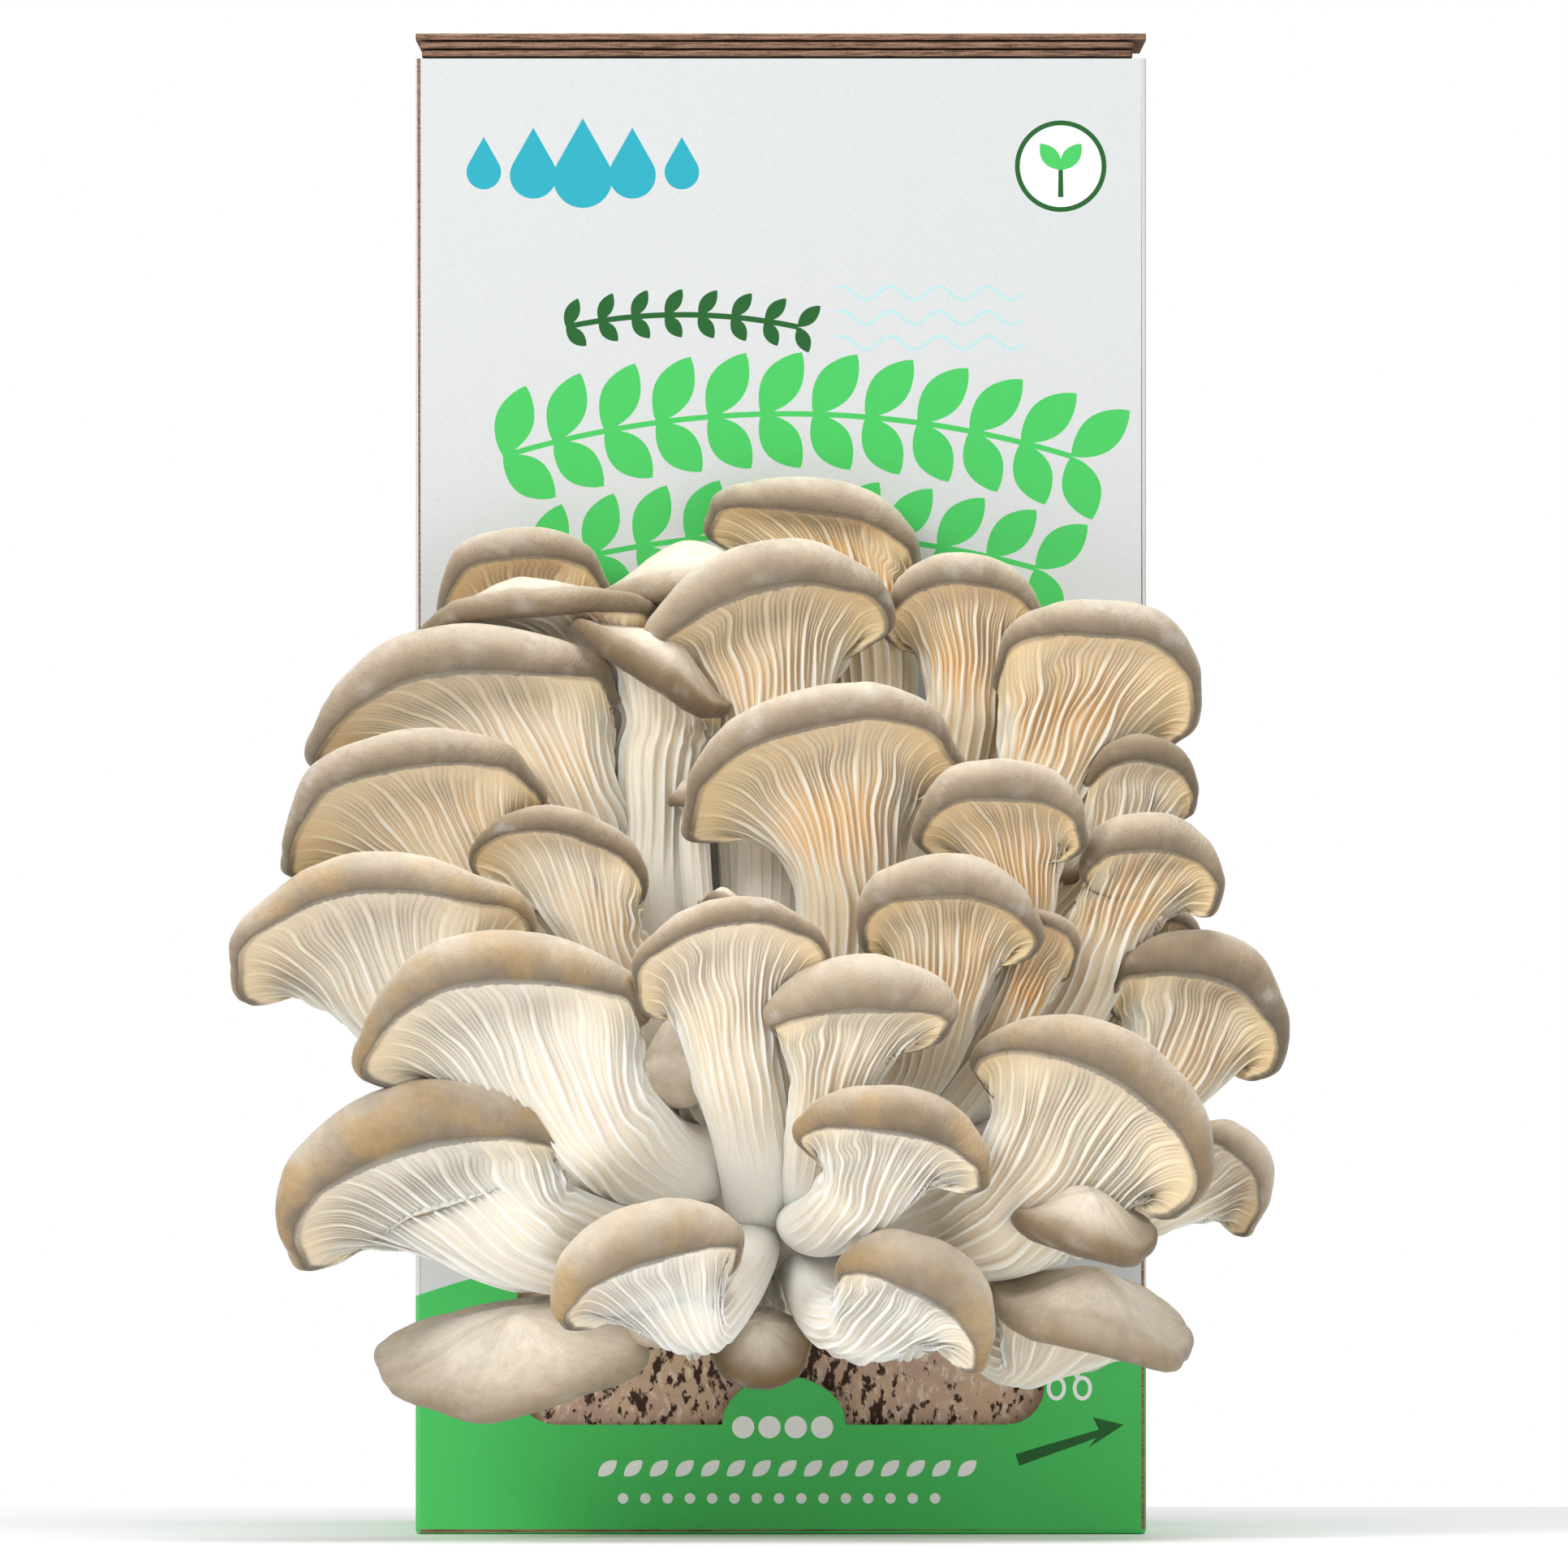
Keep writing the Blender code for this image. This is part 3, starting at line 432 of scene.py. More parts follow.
def flap_board(name, node, seed):
    low, high = (np.array(corner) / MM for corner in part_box(node))
    thick = high[2] - low[2]
    edge = np.linspace(-1.0, 1.0, 9)
    front_y = low[1] + BOARD_ROUND * np.abs(edge) ** 4
    front_z = (low[2] + high[2]) / 2.0 + edge * thick / 2.0
    run_y = np.linspace(low[1] + 2.0, high[1] - 0.4, 7)
    ring_y = np.concatenate([front_y, run_y, [high[1]], run_y[::-1]])
    ring_z = np.concatenate([front_z, np.full(7, high[2]), [(low[2] + high[2]) / 2.0], np.full(7, low[2])])
    x = np.linspace(low[0], high[0], BOARD_STEPS)
    points = np.zeros((BOARD_STEPS, len(ring_y), 3))
    points[..., 0] = x[:, None]
    points[..., 1] = ring_y
    points[..., 2] = ring_z
    at_front = np.clip(1.0 - (points[..., 1] - low[1]) / 1.5, 0.0, 1.0)
    fur = waves(points * np.array([1.0, 0.0, 6.0]), 7, 9.0, seed)
    points[..., 1] += at_front * (0.12 + 0.12 * fur)
    ends = np.abs(2.0 * (x - low[0]) / (high[0] - low[0]) - 1.0) ** 200
    points[..., 1] += at_front * 0.5 * ends[:, None]
    count = len(ring_y)
    flat = points.reshape(-1, 3)
    middles = np.array([points[0].mean(axis=0), points[-1].mean(axis=0)])
    triangles = np.concatenate([
        bands(BOARD_STEPS, count),
        fan(np.arange(count)[::-1], len(flat))[:, ::-1],
        fan(np.arange(len(flat) - count, len(flat)), len(flat) + 1)[:, ::-1]])
    obj = add_mesh(name, np.concatenate([flat, middles]), triangles, smooth=False)
    obj.data.materials.append(EDGE_BOARD)
    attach(obj, "root")
    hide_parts(node)


EDGE_BOARD = raw_board("edge_board", (0.30, 0.175, 0.115), (0.075, 0.036, 0.022))
flap_board("flap_board_lower", "flap_lower", 3)
flap_board("flap_board_middle", "flap_middle", 4)
flap_board("flap_board_upper", "flap_upper", 5)


# The block of growing medium: damp sawdust and bran pressed into a block, pinkish tan with dark brown bran.
# It is a rounded rectangle carried up through the carton, its front finely lumped where the window shows it.
BLOCK_LOW, BLOCK_HIGH = (np.array(corner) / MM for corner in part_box("substrate_block"))
SAWDUST = (0.68, 0.47, 0.32)
SAWDUST_PINK = (0.60, 0.40, 0.31)
SAWDUST_PALE = (0.84, 0.68, 0.53)
BRAN = (0.05, 0.022, 0.013)


def growing_block():
    """Rings of a rounded rectangle. The front side has a point every 0.7 mm and is moved in and out by short waves."""
    half_x, half_y = (BLOCK_HIGH[0] - BLOCK_LOW[0]) / 2.0, (BLOCK_HIGH[1] - BLOCK_LOW[1]) / 2.0
    centre = (BLOCK_HIGH + BLOCK_LOW) / 2.0
    front_x = np.linspace(-1.0, 1.0, 150)
    side = np.linspace(-1.0, 1.0, 24)[1:-1]
    x = np.concatenate([front_x, np.ones(22), np.linspace(1.0, -1.0, 24), -np.ones(22)])
    y = np.concatenate([-np.ones(150), side, np.ones(24), side[::-1]])
    heights = np.concatenate([np.linspace(BLOCK_LOW[2], 14.0, 6), np.linspace(14.7, 96.0, 116),
                              np.linspace(100.0, BLOCK_HIGH[2], 20)])
    corner = 1.0 - 0.05 * (np.abs(x) * np.abs(y)) ** 12
    ends = np.minimum(heights - BLOCK_LOW[2], BLOCK_HIGH[2] - heights)
    tuck = 1.0 - 0.04 * np.clip(1.0 - ends / 4.0, 0.0, 1.0) ** 2
    points = np.zeros((len(heights), len(x), 3))
    points[..., 0] = centre[0] + half_x * x * corner * tuck[:, None]
    points[..., 1] = centre[1] + half_y * y * corner * tuck[:, None]
    points[..., 2] = heights[:, None]
    at_front = np.clip((-y - 0.9) * 10.0, 0.0, 1.0) * np.clip((0.98 - np.abs(x)) * 12.0, 0.0, 1.0)
    lumps = 0.3 * waves(points, 10, 16.0, 11) + 0.22 * waves(points, 12, 4.0, 12)
    points[..., 1] += at_front * (0.45 + np.clip(lumps, -0.45, 0.8))
    count = len(x)
    flat = points.reshape(-1, 3)
    middles = np.array([points[0].mean(axis=0), points[-1].mean(axis=0)])
    triangles = np.concatenate([
        bands(len(heights), count),
        fan(np.arange(count)[::-1], len(flat))[:, ::-1],
        fan(np.arange(len(flat) - count, len(flat)), len(flat) + 1)[:, ::-1]])
    return add_mesh("growing_block", np.concatenate([flat, middles]), triangles)


def sawdust_material():
    """Tan and pink patches with pale chips and dark flakes of bran, lengthened along the slant of the grain."""
    material, tree, shader = new_material("sawdust", 0.72, IOR=1.4)
    place = place_millimetres(tree)
    slanted = add_node(tree, "Mapping", {"Vector": place, "Rotation": (0.0, 0.6, 0.0), "Scale": (1.0, 0.6, 0.55)})
    slanted = slanted.outputs[0]
    patches = noise(tree, place, 0.09, 3.0, 0.6)
    tan = blend_colours(tree, ramp(tree, patches, 0.4, 0.6), SAWDUST_PINK, SAWDUST)
    chips = noise(tree, slanted, 0.8, 4.0, 0.6)
    pale = blend_colours(tree, ramp(tree, chips, 0.52, 0.66), tan, SAWDUST_PALE)
    flakes = noise(tree, slanted, 0.75, 4.0, 0.6)
    where = arithmetic(tree, "ADD", flakes, arithmetic(tree, "MULTIPLY", noise(tree, place, 0.05, 2.0), 0.45))
    dark = ramp(tree, where, 0.76, 0.83)
    colour = blend_colours(tree, dark, pale, BRAN)
    tree.links.new(colour, shader.inputs["Base Color"])
    grain = noise(tree, slanted, 1.6, 4.0, 0.7)
    bump = add_node(tree, "Bump", {"Strength": 0.7, "Distance": 0.5 * MM, "Height": grain})
    tree.links.new(bump.outputs[0], shader.inputs["Normal"])
    return material


block = growing_block()
block.data.materials.append(sawdust_material())
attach(block, "root")
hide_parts("substrate_block")


# The mushrooms: each grew as one piece, a stem that widens into a cap with its gills running far down the stem.
# Flesh is cream, the furrows between the gills tan to orange, partly their own tint and partly painted shade, and the
# cap has a thin grey-brown skin rolled over at the edge. A mushroom is rings: up the stem, out under the gills to the
# rim, and over the cap to its middle.
CREAM = np.array((0.90, 0.85, 0.75))
STEM_WHITE = np.array((0.92, 0.90, 0.85))
# The furrow colours and the bowl yellow are partly the flesh's own tint and partly painted shade.
FURROW_PALE = np.array((0.78, 0.66, 0.47))
FURROW_ORANGE = np.array((0.76, 0.47, 0.18))
BOWL_YELLOW = np.array((0.82, 0.63, 0.34))
CAP_PALE = np.array((0.80, 0.71, 0.58))
CAP_BROWN = np.array((0.23, 0.15, 0.07))
CAP_GREY = np.array((0.11, 0.084, 0.055))
CAP_PAINTED_SHEEN = np.array((0.66, 0.63, 0.60))
CAP_OCHRE = np.array((0.46, 0.28, 0.09))
RIM_LINE = np.array((0.10, 0.085, 0.075))

# Columns across one gill, as parts of the spacing. A long gill stands at 0, a shorter one at 0.5 that starts
# part of the way out, and the shortest at 0.28 and 0.72 near the rim, with furrows between them.
GILL_PLACES = np.array([-0.06, 0.06, 0.17, 0.28, 0.39, 0.5, 0.61, 0.72, 0.83])
LONG_GILL = np.array([1.0, 1.0, 0.0, 0.0, 0.0, 0.0, 0.0, 0.0, 0.0])
SHORT_GILL = np.array([0.0, 0.0, 0.0, 0.0, 0.0, 1.0, 0.0, 0.0, 0.0])
SHORTEST_GILL = np.array([0.0, 0.0, 0.0, 1.0, 0.0, 0.0, 0.0, 1.0, 0.0])


def place(x, out, z):
    """A point in millimetres from its distance in front of the carton's face."""
    return np.array([x, FACE - out, z], float)


def unit(vectors):
    return vectors / np.linalg.norm(vectors, axis=-1, keepdims=True)


def smooth_step(value, low, high):
    t = np.clip((value - low) / (high - low), 0.0, 1.0)
    return t * t * (3.0 - 2.0 * t)


def directions(tilt, roll):
    """The rim's own right, front and up. Tilt lifts the front edge, roll lifts the right end, in degrees."""
    tilt, roll = math.radians(tilt), math.radians(roll)
    cosine, sine = math.cos(roll), math.sin(roll)
    turn = np.array([[cosine, 0.0, -sine], [0.0, 1.0, 0.0], [sine, 0.0, cosine]])
    right = np.array([1.0, 0.0, 0.0])
    front = np.array([0.0, -math.cos(tilt), math.sin(tilt)])
    up = np.array([0.0, math.sin(tilt), math.cos(tilt)])
    return turn @ right, turn @ front, turn @ up


def outer(values, direction):
    return values[..., None] * direction


def squared(value, power):
    """A cosine or sine raised to a power below one, its sign kept, which makes an oval's ends blunter."""
    return np.sign(value) * np.abs(value) ** power


def rim_line(angle, centre, half, front, back, own, droop, dip, seed, blunt):
    """The cap's edge: an oval of four quarters, squarer than an ellipse, its ends drooping, with slow random
    waves in and up, and a finer fray of thirteen and more waves a turn."""
    right_way, front_way, up_way = own
    across, ahead = squared(np.cos(angle), blunt), squared(np.sin(angle), blunt)
    phase = np.random.RandomState(seed).uniform(0.0, TURN, 6)
    ragged = 1.0 + 0.04 * (0.3 * np.sin(2.0 * angle + phase[0]) + 0.6 * np.sin(3.0 * angle + phase[1])
                           + 0.5 * np.sin(5.0 * angle + phase[2]) + 0.25 * np.sin(9.0 * angle + phase[5])
                           + 0.06 * np.sin(17.0 * angle + phase[3]) + 0.04 * np.sin(31.0 * angle + phase[4]))
    height = -droop[0] * np.maximum(-across, 0.0) ** 2 - droop[1] * np.maximum(across, 0.0) ** 2
    height = height + 0.5 * (0.6 * np.sin(3.0 * angle + phase[3]) + 0.4 * np.sin(5.0 * angle + phase[4]))
    height = height + 0.05 * np.sin(13.0 * angle + phase[0]) + 0.04 * np.sin(23.0 * angle + phase[1])
    if dip:
        apart = np.degrees(np.angle(np.exp(1j * (angle - math.radians(dip[0])))))
        height = height + dip[2] * np.exp(-(apart / dip[1]) ** 2)
    left_back, right_back = np.broadcast_to(back, 2)
    long_end = smooth_step(across if right_back > left_back else -across, 0.0, 0.9)
    behind = min(left_back, right_back) + abs(right_back - left_back) * long_end
    x = across * np.where(across > 0.0, half[1], half[0]) * ragged
    y = ahead * np.where(ahead > 0.0, front, behind) * ragged
    return centre + outer(x, right_way) + outer(y, front_way) + outer(height, up_way)


def wander(ridges, rows, seed):
    """How far each ridge strays sideways and how tall it stands at each row, both smooth along the ridge.
    Between five knots drawn at random the values follow cosine steps."""
    draw = np.random.RandomState(seed + 5)
    knots = 11
    stray = draw.normal(size=(knots, ridges))
    stray = 0.25 * np.roll(stray, 1, axis=1) + 0.5 * stray + 0.25 * np.roll(stray, -1, axis=1)
    tall = draw.uniform(0.35, 1.25, size=(knots, ridges))
    at = np.linspace(0.0, knots - 1.001, rows)
    low = at.astype(int)
    part = smooth_step(at - low, 0.0, 1.0)[:, None]
    return stray[low] * (1.0 - part) + stray[low + 1] * part, tall[low] * (1.0 - part) + tall[low + 1] * part


HOLLOW_END = 0.45
HOLLOW_FRONT = 0.7
HOLLOW_SPARE = 4.0
ROLL_END = 0.4
ROLL_FRONT = 0.4
ROLL_OUT = 0.38


# A mushroom's warm value sets how tan its gills are: partly their own tint and partly painted shade from the caps
# above.
def mushroom_skin(at, half, front, back, tilt, roll, lip, neck, neck_r, mid, root, root_r, seed, gills,
                  droop=(0.0, 0.0), crown=0.75, dip=None, blunt=0.9, warm=0.5, tone=0.5, ochre=0.0):
    """One mushroom: its points, triangles, colours, places on the skin and the number of flesh triangles.
    Stem rings climb a curve from root to neck, gill rings sweep out to the rim along Bezier curves, and the cap's
    rings close in over a rolled edge and a dome. The columns of the stem and gills follow the wandering ridges."""
    centre = place(*at)
    neck, mid, root = place(*neck), place(*mid), place(*root)
    own = directions(tilt, roll)
    right_way, front_way, up_way = own
    size = half[0] + half[1]
    small = size < 16.0
    stem_rows, gill_rows, cap_rows = (14, 18, 18) if small else (20, 30, 26)
    rows = stem_rows + gill_rows + 1
    per = len(GILL_PLACES)
    gills = 2 * round(gills * 0.31)
    columns = gills * per

    stray, tall = wander(gills, rows, seed)
    down = np.linspace(1.0, 0.0, rows)
    calm = smooth_step(down, 0.0, 0.25)
    base = (np.arange(gills)[:, None] + GILL_PLACES + 0.5).reshape(-1) * TURN / gills - math.pi / 2.0
    nearer = np.repeat(stray[:, :, None], per, axis=2) * (1.0 - GILL_PLACES) \
        + np.repeat(np.roll(stray, -1, axis=1)[:, :, None], per, axis=2) * GILL_PLACES
    angle = base + 0.30 * TURN / gills * (nearer.reshape(rows, -1) * calm[:, None])
    across, ahead = np.cos(angle), np.sin(angle)

    t = np.linspace(1.0, 0.0, stem_rows + 1)[:, None]
    middle = (1.0 - t) ** 2 * neck + 2.0 * t * (1.0 - t) * mid + t ** 2 * root
    along = -unit(2.0 * (1.0 - t) * (mid - neck) + 2.0 * t * (root - mid))
    radius = neck_r + (root_r - neck_r) * t
    side = unit(right_way - along * (along @ right_way)[:, None])
    forward = np.cross(side, along)
    stem_part = slice(0, stem_rows + 1)
    depth = 0.8 * ahead
    stem = middle[:, None] + radius[:, None] * (across[stem_part, :, None] * side[:, None]
                                                + depth[stem_part, :, None] * forward[:, None])
    gill_part = slice(stem_rows + 1, rows)
    a, c, h = angle[gill_part], across[gill_part], ahead[gill_part]
    top_ring = middle[-1] + radius[-1] * (outer(c, side[-1]) + outer(depth[gill_part], forward[-1]))
    rim = rim_line(a, centre, half, front, back, own, droop, dip, seed, blunt)
    reach = np.linalg.norm(rim - top_ring, axis=-1)[..., None]
    rim_side, neck_side = (rim - centre) @ right_way, (top_ring - centre) @ right_way
    beyond = smooth_step(neck_side * np.sign(c) / np.maximum(np.abs(rim_side), 1.0), 0.55, 1.0)
    beyond = beyond * smooth_step(np.abs(c), 0.3, 0.8)
    inner = centre + 0.3 * (neck - centre)
    inner = inner + outer(beyond, 1.0) * (top_ring - inner)
    depth_size = min(lip, front + HOLLOW_SPARE)
    hollow = depth_size * (HOLLOW_END + HOLLOW_FRONT * np.maximum(h, 0.0) ** 2) * (1.0 - 0.6 * beyond)
    first = rim + 0.35 * (inner - rim) + outer(hollow, up_way)
    second = top_ring + 0.4 * reach * along[-1]
    second = second - outer(np.maximum(0.0, (second - centre) @ up_way + 0.1 * lip), up_way)
    s = (np.linspace(1.0, 0.0, gill_rows + 1)[1:] ** 1.15)[:, None, None]
    r = 1.0 - s
    under = r ** 3 * rim + 3.0 * r ** 2 * s * first + 3.0 * r * s ** 2 * second + s ** 3 * top_ring
    flesh = np.concatenate([stem, under])

    # Raise the ridges along the normal. They are low at the rim, tallest halfway in, and fade down the stem.
    row_way = np.gradient(flesh, axis=0)
    column_way = np.roll(flesh, -1, axis=1) - np.roll(flesh, 1, axis=1)
    normal = np.cross(column_way, row_way)
    normal = normal / np.maximum(np.linalg.norm(normal, axis=-1, keepdims=True), 1e-9)
    inward = np.einsum("ijk,ijk->ij", normal[:3], flesh[:3] - middle[:3, None]).sum() < 0.0
    normal = -normal if inward else normal
    spacing = TURN * neck_r / gills
    in_gills = np.concatenate([np.zeros(stem_rows + 1), 1.0 - s[:, 0, 0]])
    up_stem = np.concatenate([np.linspace(0.0, 1.0, stem_rows + 1), np.ones(gill_rows)])
    strength = smooth_step(up_stem, 0.40, 1.0) * (1.0 - 0.85 * smooth_step(in_gills, 0.55, 1.0))
    crest = np.tile(LONG_GILL, gills) * np.repeat(tall, per, axis=1)
    short = np.tile(SHORT_GILL, gills) * np.repeat(np.roll(tall, 1, axis=1), per, axis=1)
    shortest = np.tile(SHORTEST_GILL, gills) * np.repeat(np.roll(tall, 2, axis=1), per, axis=1)
    crest = crest + short * (0.9 * smooth_step(in_gills, 0.05, 0.40))[:, None]
    crest = crest + shortest * (0.8 * smooth_step(in_gills, 0.35, 0.70))[:, None]
    amount = min(1.4, 0.65 * spacing) * strength[:, None]
    flesh = flesh + outer(amount * (crest - 0.35), 1.0) * normal

    # The cap, with half as many columns.
    coarse = columns // 2
    rim_angle = 0.5 * (angle[-1, 0::2] + angle[-1, 1::2])
    cap_across, cap_ahead = np.cos(rim_angle), np.sin(rim_angle)
    cap_rim = rim_line(rim_angle, centre, half, front, back, own, droop, dip, seed, blunt)
    forwards = np.maximum(cap_ahead, 0.0) ** 2
    roll_height = lip * (ROLL_END + ROLL_FRONT * forwards)
    roll_out = ROLL_OUT * lip * (0.3 + 0.7 * forwards)
    outward = unit(cap_rim - centre)
    u = np.linspace(0.0, 1.0, cap_rows + 1)[1:-1]
    half_turn = math.pi * np.minimum(1.0, u / 0.5)[:, None]
    in_dome = np.maximum(0.0, u - 0.5)[:, None] / 0.5
    lift = roll_height * (1.0 - np.cos(half_turn)) / 2.0
    lift = lift + (crown * lip - roll_height) * smooth_step(in_dome, 0.0, 1.0)
    cap = centre + (cap_rim - centre)[None] * (1.0 - in_dome[..., None])
    cap = cap + outer(roll_out * np.sin(half_turn), 1.0) * outward[None] + outer(lift, up_way)
    dents = waves(cap, 6, 14.0, seed + 9) * 0.16 * smooth_step(u, 0.0, 0.2)[:, None]
    cap = cap + outer(dents, up_way)

    first_point = middle[0] - along[0] * root_r * 0.5
    last_point = centre + up_way * crown * lip
    points = np.concatenate([flesh.reshape(-1, 3), cap.reshape(-1, 3), first_point[None], last_point[None]])
    rim_first = (rows - 1) * columns
    cap_first = rows * columns
    fine = rim_first + np.arange(columns)
    over = cap_first + np.arange(coarse)
    next_fine, next_over = np.roll(fine, -1), np.roll(over, -1)
    seam = np.concatenate([
        np.stack([next_fine[0::2], fine[0::2], over], -1),
        np.stack([next_fine[1::2], fine[1::2], over], -1),
        np.stack([next_over, next_fine[1::2], over], -1)])
    flesh_triangles = np.concatenate([bands(rows, columns), fan(np.arange(columns), len(points) - 2)])
    cap_triangles = np.concatenate([seam, bands(len(u), coarse, cap_first),
                                    fan(over + (len(u) - 1) * coarse, len(points) - 1)[:, ::-1]])
    triangles = np.concatenate([flesh_triangles, cap_triangles])

    # Colours of the flesh: cream crests, furrows from pale tan to orange, whiter down the stem. The tan and orange
    # furrows and the cream near the cap are partly the flesh's own tint and partly painted shade, in the furrows and
    # under the caps, strongest on the upper mushrooms.
    patch = waves(flesh, 5, 30.0, seed + 2)
    furrow = 1.0 - np.clip(crest, 0.0, 1.0)
    # Painted shade: the furrows turn orange and darker under the cap, more on mushrooms that lie in the shade of caps
    # above.
    furrow_orange_and_shade = warm * smooth_step(in_gills, 0.02, 0.35) * (1.0 - 0.3 * smooth_step(in_gills, 0.8, 1.0))
    furrow_orange_and_shade = np.clip(furrow_orange_and_shade[:, None] * (0.9 + 0.5 * patch), 0.0, 1.0)
    deep = FURROW_PALE * (1.0 - furrow_orange_and_shade[..., None]) + FURROW_ORANGE * furrow_orange_and_shade[..., None]
    furrow_tint_and_shade = furrow * (0.05 + (0.22 + 0.75 * warm) * strength[:, None])
    # Painted shade: the flesh is cream and darker near the cap and whiter down the stem.
    upper = smooth_step(up_stem, 0.3, 1.0) * min(1.0, 2.5 * warm)
    light = CREAM + (STEM_WHITE - CREAM) * (1.0 - upper)[:, None, None]
    flesh_colour = light + (deep - light) * furrow_tint_and_shade[..., None]
    # Painted shade in part: the gill surface turns yellow-tan towards the rim, most at the cap's ends, where it
    # hollows into a bowl.
    bowl_yellow_and_shade = smooth_step(in_gills, 0.35, 0.95)[:, None] * (0.10 + 0.55 * warm + 0.45 * np.cos(base) ** 2)
    flesh_colour = flesh_colour + (BOWL_YELLOW - flesh_colour) * outer(np.minimum(0.85, bowl_yellow_and_shade), 1.0)
    behind = 1.0 - smooth_step(np.sin(base), -0.2, 0.5)
    apart = smooth_step(np.linalg.norm(rim[-1] - neck, axis=-1) / neck_r, 1.2, 2.0)
    apart = apart * (1.0 - smooth_step(-np.sin(base), 0.5, 0.75))
    edge_line = smooth_step(in_gills, 0.95, 0.985)[:, None] * (0.4 + 0.45 * behind) * apart
    flesh_colour = flesh_colour + (RIM_LINE - flesh_colour) * outer(edge_line, 1.0)

    # Colours of the cap: grey-brown at the edge and the ends, paler over the roll, ochre patches near the edge. The
    # darkening from the pale top of the roll to the grey rim is partly the skin's own darker margin and partly painted
    # shade on the roll's lower side. A painted silvery sheen lies near the edge.
    cap_patch = waves(cap, 6, 22.0, seed + 3)
    from_edge = u[:, None] + 0.03 * cap_patch - 0.08 * cap_across[None] ** 4 - 0.14 * (tone - 0.5)
    # Painted shade in part: on caps tilted 30 degrees or less the darkening reaches further in from the rim.
    from_edge = from_edge * (1.0 if tilt > 30.0 else 0.6)
    brown = 1.0 - smooth_step(from_edge, 0.12, 0.46)
    grey = 1.0 - smooth_step(from_edge, -0.03, 0.21)
    cap_colour = CAP_PALE + (CAP_BROWN - CAP_PALE) * outer(brown * (0.65 + 0.35 * tone), 1.0)
    cap_colour = cap_colour + (CAP_GREY - cap_colour) * outer(grey * (0.55 + 0.4 * tone), 1.0)
    near = (1.0 - np.minimum(1.0, abs(u - 0.18) / 0.24))[:, None]
    # Painted sheen: silvery-white patches near the edge, standing in for highlights on the skin's fibres.
    painted_sheen = smooth_step(waves(cap, 6, 9.0, seed + 6), 0.3, 1.4) * near * (1.0 - 0.7 * ochre)
    cap_colour = cap_colour + (CAP_PAINTED_SHEEN - cap_colour) * outer(painted_sheen * 0.45, 1.0)
    patches = smooth_step(waves(cap, 5, 16.0, seed + 4) + 1.0 * near, 0.2, 1.6)
    cap_colour = cap_colour + (CAP_OCHRE - cap_colour) * outer(patches * ochre * 0.5, 1.0)
    line = (1.0 - smooth_step(u, 0.0, 0.05))[:, None]
    cap_colour = cap_colour + (RIM_LINE - cap_colour) * outer(line * 0.7, 1.0)
    joined = 1.0 - smooth_step(np.linalg.norm(cap_rim - neck, axis=-1) / neck_r, 1.0, 1.7)
    joined = joined * (1.0 - smooth_step(u, 0.3, 0.6))[:, None]
    cap_colour = cap_colour + (CREAM * 0.85 - cap_colour) * outer(joined, 1.0)
    colours = np.concatenate([flesh_colour.reshape(-1, 3), cap_colour.reshape(-1, 3), flesh_colour[:1, 0],
                              cap_colour[-1:, 0]])

    # Places on the skin, in millimetres: round the mushroom, and along it from the root or in from the rim.
    stem_length = np.linalg.norm(np.diff(middle, axis=0), axis=1).sum()
    along_length = stem_length * up_stem + size * 0.6 * in_gills
    turn_length = size * 1.2
    round_flesh = (base + math.pi / 2.0) / TURN * turn_length
    round_cap = (rim_angle + math.pi / 2.0) / TURN * turn_length
    flesh_place = np.stack(np.broadcast_arrays(round_flesh[None, :], along_length[:, None]), -1)
    cap_place = np.stack(np.broadcast_arrays(round_cap[None, :] * 1.0, (u * size * 0.5)[:, None]), -1)
    skin_places = np.concatenate([flesh_place.reshape(-1, 2), cap_place.reshape(-1, 2), flesh_place[:1, 0], cap_place[-1:, 0]])
    return points, triangles, colours, skin_places, len(flesh_triangles)


def flesh_material():
    """Cream flesh with fine fibres along the stem and the gills, letting some light through."""
    material, tree, shader = new_material(
        "mushroom_flesh", 0.5, IOR=1.4, Subsurface_Weight=0.35, Subsurface_Scale=0.0035,
        Subsurface_Radius=(1.0, 0.55, 0.30))
    tint = add_node(tree, "Attribute", attribute_name="tint", attribute_type="GEOMETRY").outputs["Color"]
    skin = add_node(tree, "Attribute", attribute_name="skin_place", attribute_type="GEOMETRY").outputs["Vector"]
    fibres = noise(tree, stretched(tree, skin, 3.0, 0.16, 1.0), 1.3, 3.0, 0.6)
    soft = noise(tree, place_millimetres(tree), 0.12, 3.0, 0.5)
    shade = arithmetic(tree, "ADD", arithmetic(tree, "MULTIPLY", fibres, 0.20), 0.90)
    shade = arithmetic(tree, "ADD", shade, arithmetic(tree, "MULTIPLY", arithmetic(tree, "SUBTRACT", soft, 0.5), 0.12))
    grey = add_node(tree, "CombineXYZ", {0: shade, 1: shade, 2: shade}).outputs[0]
    tree.links.new(blend_colours(tree, 1.0, tint, grey, "MULTIPLY"), shader.inputs["Base Color"])
    bump = add_node(tree, "Bump", {"Strength": 0.45, "Distance": 0.25 * MM, "Height": fibres})
    tree.links.new(bump.outputs[0], shader.inputs["Normal"])
    return material


